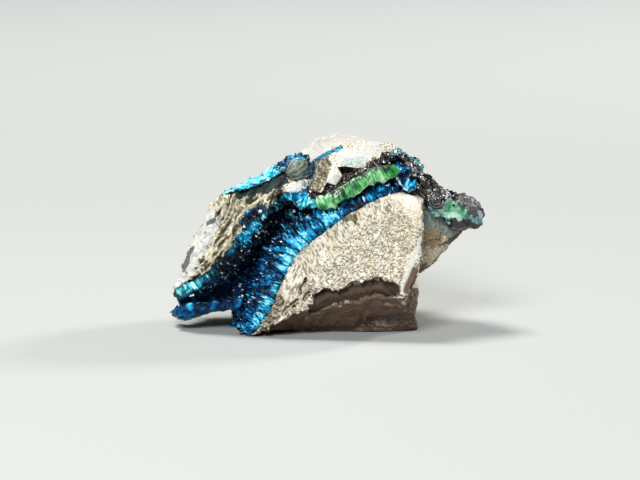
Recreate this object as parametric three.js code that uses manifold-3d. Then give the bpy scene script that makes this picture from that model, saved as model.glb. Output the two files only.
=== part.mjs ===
// A clinoclase specimen: a chip of pale host rock, broken across an open fissure. Deep blue clinoclase
// lines the fissure as one radiating crust, a strip of it caps the upper left edge, a green fibrous band
// hangs from the upper wall, and a black botryoidal crust runs down the right shoulder to a blunt nose.
//
// Millimetres, +Z up, front face towards -Y. The chip stands on the flat break under it, and the origin is
// the bottom centre of its bounding box.
//
// Forms are drawn on a front elevation seen from a little above: a point is [across, up, back], where
// `across` runs right from the middle of the chip, `up` rises from its lowest front point along the tipped
// drawing plane, and `back` runs away from the viewer. `seen` turns such a point into the part's frame.

import * as THREE from "three";
import { ConvexGeometry } from "three/addons/geometries/ConvexGeometry.js";
import { SimplexNoise } from "three/addons/math/SimplexNoise.js";
import { mergeVertices } from "three/addons/utils/BufferGeometryUtils.js";
import Module from "manifold-3d";

const wasm = await Module();
wasm.setup();

// Driving dimensions.
const VIEW_TIP = THREE.MathUtils.degToRad(10); // how far the drawing plane is tipped back from upright
const BASE_LIFT = 0.34; // the drawing's zero lies this far above the face the chip stands on
const SEAT_GAP = 0.05; // clearance between a mineral and the rock that carries it
const ROCK_STEP = 1.9; // longest edge of a rock facet
const ROCK_RELIEF = 0.2; // how far the broken faces wander
const ROCK_RELIEF_SIZE = 2.1; // spacing of that relief
const FAR_FRONT = -8; // in front of everything, for cutters
const FLOOR_CUT = 6; // depth of the cutter that makes the flat break

// ---------------------------------------------------------------- helpers

function seen([across, up, back]) {
  const z = (up - back * Math.sin(VIEW_TIP)) / Math.cos(VIEW_TIP) - BASE_LIFT;
  return new THREE.Vector3(across, back, z);
}

function randomFrom(seed) {
  let state = seed;
  return () => {
    state = (state + 0x6d2b79f5) | 0;
    let t = Math.imul(state ^ (state >>> 15), 1 | state);
    t = (t + Math.imul(t ^ (t >>> 7), 61 | t)) ^ t;
    return ((t ^ (t >>> 14)) >>> 0) / 4294967296;
  };
}

const noise = new SimplexNoise({ random: randomFrom(7) });

function wander(point, size) {
  const { x, y, z } = point.clone().divideScalar(size);
  return new THREE.Vector3(
    noise.noise3d(x, y, z),
    noise.noise3d(x + 31, y, z),
    noise.noise3d(x, y + 47, z),
  );
}

function closed(geometry) {
  const bare = new THREE.BufferGeometry().setAttribute(
    "position",
    geometry.getAttribute("position").clone(),
  );
  if (geometry.index) bare.setIndex(geometry.index.clone());
  return mergeVertices(bare, 1e-4);
}

// Splits every edge longer than `step`, so that a flat face can be roughened.
function refined(geometry, step) {
  const points = [];
  const position = geometry.getAttribute("position");
  for (let i = 0; i < position.count; i++) {
    points.push(new THREE.Vector3().fromBufferAttribute(position, i));
  }
  let faces = [];
  for (let i = 0; i < geometry.index.count; i += 3) {
    faces.push([0, 1, 2].map((k) => geometry.index.getX(i + k)));
  }
  for (let splitting = true; splitting; ) {
    splitting = false;
    const middles = new Map();
    const middle = (a, b) => {
      const key = a < b ? `${a},${b}` : `${b},${a}`;
      if (!middles.has(key)) {
        const long = points[a].distanceTo(points[b]) > step;
        middles.set(key, long ? points.length : -1);
        if (long) points.push(points[a].clone().lerp(points[b], 0.5));
      }
      return middles.get(key);
    };
    const next = [];
    for (const [a, b, c] of faces) {
      const [ab, bc, ca] = [middle(a, b), middle(b, c), middle(c, a)];
      const cuts = [ab, bc, ca].filter((m) => m >= 0).length;
      splitting ||= cuts > 0;
      if (cuts === 0) next.push([a, b, c]);
      else if (cuts === 3) next.push([a, ab, ca], [ab, b, bc], [ca, bc, c], [ab, bc, ca]);
      else {
        // Turned so that the first edge is cut, and the last edge is whole.
        const turns = [
          [a, b, c, ab, bc, ca],
          [b, c, a, bc, ca, ab],
          [c, a, b, ca, ab, bc],
        ];
        const [p, q, r, pq, qr] = turns.find((t) => t[3] >= 0 && t[5] < 0);
        if (cuts === 1) next.push([p, pq, r], [pq, q, r]);
        else next.push([p, pq, r], [pq, q, qr], [pq, qr, r]);
      }
    }
    faces = next;
  }
  const made = new THREE.BufferGeometry().setFromPoints(points);
  return made.setIndex(faces.flat());
}

function roughened(geometry, step, relief, size) {
  const made = refined(closed(geometry), step);
  const position = made.getAttribute("position");
  const point = new THREE.Vector3();
  for (let i = 0; i < position.count; i++) {
    point.fromBufferAttribute(position, i);
    point.addScaledVector(wander(point, size), relief);
    point.addScaledVector(wander(point, size / 2.3), relief / 2);
    position.setXYZ(i, point.x, point.y, point.z);
  }
  return made;
}

function solid(geometry) {
  const whole = closed(geometry);
  return new wasm.Manifold(
    new wasm.Mesh({
      numProp: 3,
      vertProperties: new Float32Array(whole.getAttribute("position").array),
      triVerts: new Uint32Array(whole.index.array),
    }),
  );
}

function joined(solids) {
  return solids.reduce((whole, next) => whole.add(next));
}

// The largest body of a solid, without the scraps that a cut leaves.
function largest(made) {
  const bodies = made.decompose();
  return bodies.reduce((best, next) => (next.volume() > best.volume() ? next : best));
}

function rockBlock(corners) {
  const hull = new ConvexGeometry(corners.map(seen));
  return solid(roughened(hull, ROCK_STEP, ROCK_RELIEF, ROCK_RELIEF_SIZE));
}

// A closed solid through rings of points, all with the same count. Where `peak` gives a point for the patch
// after point k between rings i and i + 1, the patch rises or sinks to it as four flat faces.
function loft(rings, peak = () => null) {
  const count = rings[0].length;
  const points = rings.flat();
  const faces = [];
  for (let i = 0; i + 1 < rings.length; i++) {
    for (let k = 0; k < count; k++) {
      const [a, b] = [i * count + k, i * count + ((k + 1) % count)];
      const corners = [a, b, b + count, a + count];
      const top = peak(i, k);
      if (top) {
        corners.forEach((corner, n) => faces.push(corner, corners[(n + 1) % 4], points.length));
        points.push(top);
      } else faces.push(a, b, b + count, a, b + count, a + count);
    }
  }
  for (const end of [0, rings.length - 1]) {
    const centre = rings[end].reduce((sum, p) => sum.add(p), new THREE.Vector3());
    points.push(centre.divideScalar(count));
    for (let k = 0; k < count; k++) {
      const [a, b] = [end * count + k, end * count + ((k + 1) % count)];
      faces.push(points.length - 1, ...(end === 0 ? [b, a] : [a, b]));
    }
  }
  const made = new THREE.BufferGeometry().setFromPoints(points).setIndex(faces);
  const body = solid(made);
  return body.volume() > 0 ? body : solid(made.setIndex(faces.reverse()));
}

// ---------------------------------------------------------------- the uncut chip

const FRONT_BLOCK = [
  [-5.2, -0.3, -2.4],
  [-2.5, 0.1, -3.2],
  [0.5, 0.9, -3.8],
  [4.6, 1.6, -4.1],
  [5.5, 3.8, -4.0],
  [5.9, 5.2, -3.9],
  [5.5, 7.0, -3.6],
  [3.9, 8.6, -3.2],
  [6.0, 8.2, -2.8],
  [5.5, 8.9, -2.4],
  [3.7, 9.3, -2.2],
  [0.5, 8.8, -2.0],
  [-2.5, 7.5, -1.9],
  [-5.0, 5.0, -1.9],
  [-6.0, 2.0, -1.9],
  [-5.0, 0.3, 1.0],
  [5.0, 1.3, 1.0],
  [5.6, 4.0, 1.5],
  [5.7, 9.0, 1.2],
  [0.0, 9.5, 2.0],
  [-5.5, 6.0, 2.0],
  [-6.0, 2.0, 1.0],
];
const BASE_BLOCK = [
  [-5.8, 0.0, 0.8],
  [-5.2, -0.2, -0.5],
  [5.2, -0.2, -0.9],
  [5.75, 0.4, -0.2],
  [5.75, 2.9, -0.1],
  [5.2, 3.6, -1.4],
  [5.3, 0.6, 5.0],
  [0.0, 0.8, 6.2],
  [-6.0, 0.6, 5.2],
  [-6.2, 0.5, 3.0],
  [-6.5, 5.0, 1.0],
  [-6.5, 5.4, 5.0],
  [5.6, 5.5, 1.0],
  [5.4, 5.8, 5.2],
];
const LEFT_BLOCK = [
  [-9.9, 2.9, 0.4],
  [-9.5, 4.3, 1.3],
  [-9.05, 5.4, 1.7],
  [-8.4, 6.4, 2.0],
  [-7.8, 7.2, 1.8],
  [-7.4, 8.1, 1.5],
  [-6.6, 9.1, 0.7],
  [-6.6, 8.9, -0.6],
  [-7.3, 6.7, -0.9],
  [-7.8, 5.1, -1.0],
  [-8.2, 3.7, -1.1],
  [-9.1, 3.1, -0.8],
  [-3.3, 9.2, -1.9],
  [-4.2, 7.8, -2.1],
  [-6.5, 5.3, -1.9],
  [-7.8, 3.0, -1.5],
  [-6.0, 1.8, -0.6],
  [-9.5, 1.4, 0.3],
  [-9.8, 2.0, 0.3],
  [-5.0, 9.7, -0.8],
  [-2.7, 10.5, -0.7],
  [-8.6, 3.2, 4.0],
  [-8.0, 6.4, 4.2],
  [-6.3, 8.8, 3.6],
  [-3.0, 10.3, 4.0],
  [-3.0, 4.0, 5.0],
  [-7.8, 1.4, 3.0],
];
const TOP_BLOCK = [
  [-2.9, 10.4, -0.8],
  [-1.7, 11.1, -0.9],
  [0.1, 11.8, -0.5],
  [0.6, 12.1, -0.2],
  [3.8, 12.2, -0.2],
  [4.3, 11.6, -0.6],
  [-3.0, 9.0, -1.7],
  [-0.5, 8.5, -2.0],
  [1.3, 9.2, -2.0],
  [3.4, 10.3, -1.8],
  [4.2, 10.7, -1.3],
  [-2.5, 10.8, 4.0],
  [0.0, 11.7, 4.2],
  [3.8, 11.9, 4.5],
  [4.6, 11.0, 4.0],
  [-3.0, 8.0, 4.0],
  [4.8, 8.0, 4.0],
];
const REAR_HUMP = [
  [-2.2, 11.2, 4.5],
  [-0.7, 12.6, 4.8],
  [1.1, 13.1, 5.0],
  [2.4, 12.7, 5.2],
  [3.8, 12.0, 5.0],
  [-2.0, 10.5, 2.5],
  [3.5, 11.0, 2.0],
  [-2.6, 9.6, 6.8],
  [1.0, 11.6, 7.4],
  [3.8, 10.2, 7.0],
  [4.6, 7.0, 7.0],
  [-3.6, 7.0, 7.0],
  [-3.2, 2.6, 6.6],
  [4.4, 2.6, 6.4],
  [-5.2, 5.0, 3.0],
  [5.2, 5.0, 3.0],
];
const SHOULDER = [
  [4.2, 11.2, 0.3],
  [5.8, 9.9, 0.1],
  [7.2, 8.6, 0.2],
  [8.4, 8.1, 0.4],
  [9.2, 7.9, 0.6],
  [9.35, 7.4, 0.5],
  [8.6, 6.9, 0.4],
  [7.9, 6.4, 0.9],
  [7.1, 5.5, 1.2],
  [6.4, 4.8, 0.8],
  [6.0, 3.9, 0.6],
  [5.4, 4.0, -1.0],
  [5.5, 8.8, -1.2],
  [4.5, 10.5, 4.5],
  [7.0, 8.6, 3.8],
  [8.9, 7.4, 2.6],
  [8.5, 6.7, 2.6],
  [7.3, 6.4, 3.4],
  [6.5, 4.9, 3.8],
  [4.0, 5.0, 5.0],
];

// The lower front edge, where the broken face turns under: [across, up, back of the edge, back of the foot].
const UNDERCUT = [
  [-12, 0.9, 0.4, 3.0],
  [-9.7, 1.05, 0.4, 2.6],
  [-8.7, 1.2, 0.2, 2.2],
  [-7.6, 1.5, 0.0, 1.2],
  [-6.2, 2.05, -0.3, 0.4],
  [-5.85, 1.4, -2.6, 0.0],
  [-5.6, 0.4, -2.7, -0.2],
  [-4.9, -0.05, -2.8, -0.3],
  [-4.2, 0.2, -2.9, -0.4],
  [-3.5, 0.65, -3.1, -0.5],
  [-2.7, 1.15, -3.3, -0.6],
  [-1.8, 1.65, -3.5, -0.7],
  [-0.8, 2.25, -3.7, -0.7],
  [0.0, 2.75, -3.9, -0.8],
  [1.4, 2.8, -4.0, -0.8],
  [2.6, 3.1, -4.1, -0.8],
  [3.4, 3.15, -4.2, -0.8],
  [4.1, 2.9, -4.2, -0.7],
  [4.7, 2.35, -4.2, -0.5],
  [5.3, 3.0, -4.1, -0.3],
  [7.0, 3.0, -3.8, 0.6],
  [9.0, 3.2, -3.0, 1.5],
];

function undercutSolid() {
  const foot = (back) => BASE_LIFT * Math.cos(VIEW_TIP) + back * Math.sin(VIEW_TIP);
  return loft(
    UNDERCUT.map(([across, up, edge, back]) =>
      [
        [across, up, FAR_FRONT],
        [across, up, edge],
        [across, foot(back), back],
        [across, foot(back) - 3, back],
        [across, -4, FAR_FRONT],
      ].map(seen),
    ),
  );
}

function belowTheBreak() {
  const size = 40;
  return solid(new THREE.BoxGeometry(size, size, FLOOR_CUT).translate(0, 0, -FLOOR_CUT / 2));
}

const blocks = [FRONT_BLOCK, BASE_BLOCK, LEFT_BLOCK, TOP_BLOCK, REAR_HUMP, SHOULDER];
const chip = joined(blocks.map(rockBlock)).subtract(undercutSolid()).subtract(belowTheBreak());

// ---------------------------------------------------------------- the fissure and its crust

// Rungs from the open lower left end to the blind upper right one. Each has the rim on either wall, how far
// back the rims lie, the depth of the trough between them, and how thick the crust is on the two walls.
const FISSURE = [
  { left: [-10.6, 2.6], right: [-5.6, -0.9], rims: [-1.0, -2.6], floor: 1.5, crust: [0.5, 0.8] },
  { left: [-8.9, 3.4], right: [-4.75, 0.2], rims: [-1.0, -2.7], floor: 1.6, crust: [0.5, 0.8] },
  { left: [-7.8, 3.9], right: [-4.0, 1.1], rims: [-1.2, -2.8], floor: 1.7, crust: [0.6, 0.9] },
  { left: [-7.0, 4.7], right: [-3.5, 2.1], rims: [-1.5, -2.8], floor: 1.8, crust: [0.7, 1.0] },
  { left: [-6.4, 5.4], right: [-3.0, 3.2], rims: [-1.7, -2.8], floor: 1.9, crust: [0.7, 1.1] },
  { left: [-5.8, 6.2], right: [-2.5, 4.2], rims: [-1.9, -2.8], floor: 2.0, crust: [0.8, 1.2] },
  { left: [-5.1, 7.0], right: [-1.9, 5.2], rims: [-2.0, -2.8], floor: 2.0, crust: [0.8, 1.3] },
  { left: [-4.2, 7.8], right: [-1.1, 5.9], rims: [-2.0, -2.8], floor: 2.0, crust: [0.7, 1.3] },
  { left: [-3.2, 8.5], right: [-0.3, 6.5], rims: [-2.0, -2.8], floor: 1.8, crust: [0.8, 1.2] },
  { left: [-2.1, 8.9], right: [0.4, 7.1], rims: [-2.0, -2.7], floor: 1.4, crust: [0.8, 1.0] },
  { left: [-0.9, 8.8], right: [1.1, 7.6], rims: [-2.0, -2.7], floor: 1.0, crust: [0.3, 0.8] },
  { left: [0.2, 8.9], right: [1.9, 8.0], rims: [-2.0, -2.7], floor: 0.8, crust: [0.2, 0.75] },
  { left: [1.1, 9.35], right: [2.7, 8.5], rims: [-2.0, -2.6], floor: 0.6, crust: [0.2, 0.75] },
  { left: [2.1, 9.9], right: [3.5, 8.85], rims: [-1.9, -2.5], floor: 0.4, crust: [0.2, 0.75] },
  { left: [3.1, 10.5], right: [4.4, 9.1], rims: [-1.6, -2.3], floor: 0.2, crust: [0.2, 0.8] },
  { left: [4.2, 11.1], right: [5.4, 9.1], rims: [-1.2, -2.0], floor: 0.1, crust: [0.3, 0.8] },
];
const LAST_RUNG = FISSURE.length - 1;
const TROUGH_POINTS = 9;
const TROUGH_SQUARENESS = 0.72;
const END_CRUST = 0.9; // crust on the blind end, in rungs
const CRYSTALS_A_RUNG = 1.8;
const CRYSTAL_HEIGHT = [0.2, 0.75];
const CRYSTAL_LEAN = 0.3; // how far a crystal's tip leans, as a share of its foot
const CRYSTAL_STRAY = 0.35; // how far its foot strays

const bare = () => 0;
const seat = () => SEAT_GAP;
const crusted = (thick) => thick;

function mix(from, to, share) {
  return from.map((value, k) => value + (to[k] - value) * share);
}

function between([low, high], random) {
  return low + (high - low) * random();
}

// A point of the trough's wall: `along` counts rungs, `around` runs from the left rim (0) over the floor to
// the right rim (1), and `cover` turns the crust's thickness there into what lies on the wall.
function troughPoint(along, around, cover) {
  const first = Math.min(Math.floor(along), LAST_RUNG - 1);
  const [low, high] = [FISSURE[first], FISSURE[first + 1]];
  const [left, right, rims, crust] = ["left", "right", "rims", "crust"].map((key) =>
    mix(low[key], high[key], along - first),
  );
  const floor = THREE.MathUtils.lerp(low.floor, high.floor, along - first);
  const turn = around * Math.PI;
  const side = Math.sign(Math.cos(turn)) * Math.abs(Math.cos(turn)) ** TROUGH_SQUARENESS;
  const share = (1 - side) / 2;
  const width = Math.hypot(right[0] - left[0], right[1] - left[1]);
  const [insetLeft, insetRight] = crust.map((thick) => cover(thick) / width);
  const at = mix(left, right, insetLeft + (1 - insetLeft - insetRight) * share);
  const rim = THREE.MathUtils.lerp(...rims, share);
  const bed = floor - cover(THREE.MathUtils.lerp(...crust, share));
  return [...at, rim + (bed - rim) * Math.sin(turn) ** TROUGH_SQUARENESS];
}

// The cutter for the fissure. With `crystals` its walls are pitted, so that what it cuts stands in crystals.
function fissure(cover, crystals = false) {
  const random = randomFrom(23);
  const end = LAST_RUNG - (cover === crusted ? END_CRUST : 0);
  const rungs = crystals ? Math.round(end * CRYSTALS_A_RUNG) : LAST_RUNG;
  const stray = () => (crystals ? between([-CRYSTAL_STRAY, CRYSTAL_STRAY], random) : 0);
  const alongAt = (k) => THREE.MathUtils.clamp((k * end) / rungs, 0, end);
  const rings = [];
  for (let i = 0; i <= rungs; i++) {
    const ring = [];
    for (let k = 0; k <= TROUGH_POINTS; k++) {
      ring.push(troughPoint(alongAt(i + stray()), k / TROUGH_POINTS, cover));
    }
    const [start, stop] = [ring[0], ring[TROUGH_POINTS]];
    rings.push([[start[0], start[1], FAR_FRONT], ...ring, [stop[0], stop[1], FAR_FRONT]].map(seen));
  }
  const peak = (i, k) => {
    if (k < 1 || k > TROUGH_POINTS) return null;
    const along = alongAt(i + 0.5 + between([-CRYSTAL_LEAN, CRYSTAL_LEAN], random));
    const around = (k - 0.5 + between([-CRYSTAL_LEAN, CRYSTAL_LEAN], random)) / TROUGH_POINTS;
    const height = between(CRYSTAL_HEIGHT, random);
    return seen(troughPoint(along, around, (thick) => thick * (1 + height)));
  };
  return loft(rings, crystals ? peak : undefined);
}

// The lip of the crust, across the open lower left end: [across, up, back, half height].
const LIP = [
  [-9.95, 1.5, -0.4, 0.15],
  [-9.6, 1.5, -0.5, 0.45],
  [-8.8, 1.55, -0.6, 0.55],
  [-7.9, 1.75, -0.7, 0.45],
  [-7.0, 1.9, -0.8, 0.38],
  [-6.2, 1.95, -0.9, 0.36],
  [-5.4, 2.1, -0.9, 0.3],
];
const LIP_REACH = 2.2;
// Below the lip and left of the crust's lowest fin there is nothing.
const NOTCH = [
  [-14, 1.0],
  [-9.3, 0.95],
  [-8.0, 1.3],
  [-6.1, 1.6],
  [-5.95, 0.9],
  [-5.6, -2.0],
  [-14, -2.0],
];
const NOTCH_DEPTH = 9;
// The crust's bright boss on the fissure's blind end.
const BOSS = [
  [4.0, 10.9, -1.6],
  [4.8, 10.95, -1.4],
  [5.3, 10.2, -1.6],
  [5.5, 9.3, -1.8],
  [4.9, 9.1, -2.2],
  [4.3, 9.8, -2.1],
  [4.2, 10.7, -0.4],
  [5.2, 10.4, -0.4],
  [5.4, 9.2, -0.6],
  [4.4, 9.4, -0.8],
];

function lip(extra = 0) {
  return loft(
    LIP.map(([across, up, back, half]) =>
      [
        [across, up + half * 0.9 + extra, back - extra],
        [across, up - half - extra, back - extra],
        [across, up - half * 0.7 - extra, back + LIP_REACH + extra],
        [across, up + half * 0.5 + extra, back + LIP_REACH + extra],
        [across, up + half * 0.6 + extra, back + LIP_REACH * 0.4],
      ].map(seen),
    ),
  );
}

function boss(extra = 0) {
  const block = new ConvexGeometry(BOSS.map(seen)).center();
  const size = block.boundingBox.getSize(new THREE.Vector3());
  const middle = new THREE.Box3().setFromPoints(BOSS.map(seen)).getCenter(new THREE.Vector3());
  block.scale(...size.toArray().map((side) => 1 + (2 * extra) / side));
  return solid(block.translate(...middle.toArray()));
}

// ---------------------------------------------------------------- ropes of knobbly crust

const ROPE_SIDES = 9;
const ROPE_STEP = 0.42; // length of rope between rings
const KNOB = 0.16; // how far the knobs stand out, as a share of the radius
const KNOB_SPACING = 0.75;

// Stations are [across, up, back, radius, how many times as far the rope reaches towards the back].
const BLACK_ROPE = [
  [-1.75, 8.5, -1.9, 0.14, 1],
  [-1.45, 8.6, -1.9, 0.32, 1],
  [-0.2, 9.05, -1.9, 0.36, 1],
  [1.07, 9.6, -1.9, 0.38, 1],
  [2.15, 10.25, -1.8, 0.38, 1],
  [3.1, 10.85, -1.6, 0.38, 1.2],
  [3.75, 11.2, -1.3, 0.38, 1.4],
  [4.4, 11.3, -1.1, 0.42, 1.8],
  [5.2, 10.8, -1.0, 0.5, 2.2],
  [5.75, 9.95, -1.0, 0.62, 2.4],
  [6.4, 9.1, -0.9, 0.78, 2.3],
  [7.25, 8.4, -0.6, 0.9, 2.2],
  [8.15, 7.95, -0.3, 0.96, 2.1],
  [9.0, 7.75, -0.1, 0.84, 1.9],
  [9.55, 7.6, 0.0, 0.55, 1.7],
  [9.92, 7.57, 0.0, 0.15, 1.5],
];
const GREEN_ROPE = [
  [-0.95, 8.2, -2.3, 0.12, 1],
  [-0.75, 8.2, -2.35, 0.36, 1],
  [-0.1, 8.15, -2.45, 0.48, 1],
  [0.65, 8.4, -2.45, 0.48, 1],
  [1.4, 8.8, -2.45, 0.47, 1],
  [2.3, 9.35, -2.4, 0.47, 1],
  [3.2, 9.95, -2.3, 0.45, 1],
  [3.8, 10.25, -2.15, 0.4, 1],
  [4.3, 10.35, -2.0, 0.3, 1],
  [4.5, 10.38, -1.95, 0.1, 1],
];

function rope(stations, extra = 0) {
  const curve = new THREE.CatmullRomCurve3(stations.map(seen));
  const steps = Math.round(curve.getLength() / ROPE_STEP);
  const towardsViewer = new THREE.Vector3(0, -1, 0);
  const rings = [];
  for (let i = 0; i <= steps; i++) {
    const place = (i / steps) * (stations.length - 1);
    const first = Math.min(Math.floor(place), stations.length - 2);
    const [radius, deep] = mix(stations[first], stations[first + 1], place - first).slice(3);
    const centre = curve.getPoint(i / steps);
    const side = curve.getTangent(i / steps).cross(towardsViewer).normalize();
    const ring = [];
    for (let k = 0; k < ROPE_SIDES; k++) {
      const turn = ((k + (i % 2) / 2) / ROPE_SIDES) * 2 * Math.PI;
      const out = side.clone().multiplyScalar(Math.cos(turn));
      out.addScaledVector(towardsViewer, Math.sin(turn) * (Math.sin(turn) < 0 ? deep : 1));
      const spot = centre.clone().addScaledVector(out, radius);
      const knob = KNOB * noise.noise3d(...spot.divideScalar(KNOB_SPACING).toArray());
      ring.push(centre.clone().addScaledVector(out, radius * (1 + knob) + extra));
    }
    rings.push(ring);
  }
  return loft(rings);
}

function planted(geometry, at, towards) {
  const up = new THREE.Vector3(0, 1, 0);
  const turned = new THREE.Quaternion().setFromUnitVectors(up, towards.clone().normalize());
  const place = new THREE.Matrix4().compose(seen(at), turned, new THREE.Vector3(1, 1, 1));
  return solid(geometry.applyMatrix4(place));
}

// A terraced button of the black crust, one step for each growth ring.
const BUTTON = { at: [6.8, 8.5, -1.6], radius: 0.66, rings: 4, rise: 0.13, root: 0.6, sides: 14 };

function ringedButton(extra = 0) {
  const outline = [
    [0, -BUTTON.root],
    [BUTTON.radius + extra, -BUTTON.root],
  ];
  for (let ring = 0; ring < BUTTON.rings; ring++) {
    const radius = BUTTON.radius * (1 - ring / BUTTON.rings) + extra;
    outline.push([radius, BUTTON.rise * ring + extra], [radius * 0.9, BUTTON.rise * (ring + 0.8) + extra]);
  }
  outline.push([0, BUTTON.rise * (BUTTON.rings + 0.1) + extra]);
  const profile = outline.map(([radius, height]) => new THREE.Vector2(radius, height));
  return planted(
    new THREE.LatheGeometry(profile, BUTTON.sides),
    BUTTON.at,
    new THREE.Vector3(0.1, -1, 0.25),
  );
}

// ---------------------------------------------------------------- the crust on the upper left edge

// The strip that caps the left block: [across, up, back] of its front edge, thickness, how far it lies back
// over the block, and how much its back edge rises.
const UPPER_EDGE = [
  [-6.75, 8.95, -0.7, 0.08, 1.2, -0.1],
  [-6.0, 9.25, -1.2, 0.2, 2.0, -0.2],
  [-5.2, 9.45, -1.45, 0.26, 2.7, -0.1],
  [-4.4, 9.75, -1.5, 0.3, 2.3, 0.0],
  [-3.6, 10.15, -1.5, 0.32, 2.9, 0.1],
  [-2.9, 10.6, -1.5, 0.34, 2.5, 0.0],
  [-2.5, 11.0, -1.4, 0.34, 1.9, 0.0],
  [-1.9, 11.25, -1.35, 0.32, 1.5, 0.0],
  [-1.2, 11.1, -1.4, 0.2, 0.9, 0.1],
];
const UPPER_ROWS = 4; // rows of crystals on it
const UPPER_CRYSTAL = [0.03, 0.3];
// The fibrous nodule at the strip's right end.
const NODULE = { at: [-1.9, 10.45, -1.15], radius: 0.86, flat: 0.8 };

function upperStrip(extra = 0) {
  const random = randomFrom(5);
  const rings = [];
  const count = (UPPER_EDGE.length - 1) * 2;
  for (let i = 0; i <= count; i++) {
    const first = Math.min(Math.floor(i / 2), UPPER_EDGE.length - 2);
    const station = mix(UPPER_EDGE[first], UPPER_EDGE[first + 1], i / 2 - first);
    const [thick, reach, rise] = station.slice(3);
    const front = seen(station.slice(0, 3));
    const corner = (behind, above) =>
      new THREE.Vector3(front.x, front.y + behind, front.z + (rise * behind) / reach + above);
    const ring = [corner(-extra, -thick - extra), corner(-extra, extra)];
    for (let row = 1; row < UPPER_ROWS; row++) ring.push(corner((reach * row) / UPPER_ROWS, extra));
    ring.push(corner(reach + extra, extra), corner(reach + extra, -thick - extra));
    rings.push(ring);
  }
  const peak = (i, k) => {
    if (k < 1 || k > UPPER_ROWS) return null;
    const middle = rings[i][k].clone().lerp(rings[i + 1][k + 1], between([0.3, 0.7], random));
    return middle.setZ(middle.z + between(UPPER_CRYSTAL, random));
  };
  return loft(rings, extra ? undefined : peak);
}

function nodule(extra = 0) {
  const ball = new THREE.IcosahedronGeometry(NODULE.radius + extra, 1).scale(1, NODULE.flat, 1);
  return planted(ball, NODULE.at, new THREE.Vector3(0, 1, 0));
}

// ---------------------------------------------------------------- hollow and spur

// A hollow above the black crust, under the top block.
const HOLLOW = [
  [-0.1, 10.6, FAR_FRONT],
  [0.6, 10.85, FAR_FRONT],
  [3.2, 10.8, FAR_FRONT],
  [3.5, 10.6, FAR_FRONT],
  [0.4, 9.2, FAR_FRONT],
  [-0.2, 9.4, FAR_FRONT],
  [0.2, 10.5, 0.2],
  [2.8, 10.6, 0.0],
  [0.6, 9.7, -0.4],
];
// A spur of rock that stands beside the hollow.
const SPUR = [
  [-1.0, 10.9, -1.3],
  [-0.2, 10.9, -1.5],
  [-0.1, 9.7, -2.2],
  [-0.5, 9.1, -2.4],
  [-1.2, 9.0, -2.2],
  [-1.2, 10.2, -1.6],
  [-0.2, 11.2, 0.2],
  [-1.2, 11.0, 0.2],
  [-1.2, 9.0, 0.0],
  [0.1, 9.4, 0.0],
];

// ---------------------------------------------------------------- assembly

function finish(name, made, colour, roughness, metalness) {
  const mesh = made.getMesh();
  const geometry = new THREE.BufferGeometry()
    .setAttribute("position", new THREE.BufferAttribute(mesh.vertProperties, mesh.numProp))
    .setIndex(new THREE.BufferAttribute(mesh.triVerts, 1));
  geometry.computeVertexNormals();
  const material = new THREE.MeshStandardMaterial({ color: colour, roughness, metalness });
  material.flatShading = true;
  const node = new THREE.Mesh(geometry, material);
  node.name = name;
  return node;
}

const black = rope(BLACK_ROPE).add(ringedButton());
const blackSeat = rope(BLACK_ROPE, SEAT_GAP).add(ringedButton(SEAT_GAP));
const green = rope(GREEN_ROPE).subtract(blackSeat);
const greenSeat = rope(GREEN_ROPE, SEAT_GAP);
const upper = upperStrip().add(nodule());
const upperSeat = upperStrip(SEAT_GAP).add(nodule(SEAT_GAP));
const seats = joined([blackSeat, greenSeat, upperSeat]);

const hollow = solid(new ConvexGeometry(HOLLOW.map(seen)));
const notch = loft([FAR_FRONT, NOTCH_DEPTH].map((back) => NOTCH.map((corner) => seen([...corner, back]))));
const chipped = chip.subtract(hollow).add(rockBlock(SPUR)).subtract(notch);
const rock = chipped.subtract(fissure(bare)).subtract(seats).subtract(lip(SEAT_GAP)).subtract(boss(SEAT_GAP));
const lining = chipped.intersect(fissure(seat)).subtract(fissure(crusted, true)).add(lip()).add(boss());

const specimen = new THREE.Group();
specimen.add(
  finish("host_rock", largest(rock), 0xd3c9b0, 0.9, 0),
  finish("clinoclase_crust", largest(lining.subtract(seats)), 0x0b3f8f, 0.3, 0),
  finish("upper_clinoclase_crust", largest(upper), 0x1a7fc4, 0.3, 0),
  finish("green_crust", largest(green), 0x3f9a45, 0.45, 0),
  finish("black_crust", largest(black), 0x26262a, 0.25, 0),
);

const bounds = new THREE.Box3().setFromObject(specimen);
const middle = bounds.getCenter(new THREE.Vector3());
specimen.position.set(-middle.x, -middle.y, -bounds.min.z);

const part = new THREE.Group();
part.add(specimen);

export default part;
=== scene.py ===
"""The looks of a clinoclase specimen: a chip of pale rock whose open fissure is lined with blue crystals.

Every piece is modelled in millimetres over the solid that it dresses, and brought into metres last of all.
Places on the front of the specimen are given as on a front drawing: [across, up] in millimetres. Across runs
right from the middle of the chip, and up rises from its lowest front point along the tipped drawing plane.
"""

import math

import bmesh
import bpy
from mathutils import Matrix, Vector
from mathutils.bvhtree import BVHTree


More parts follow.
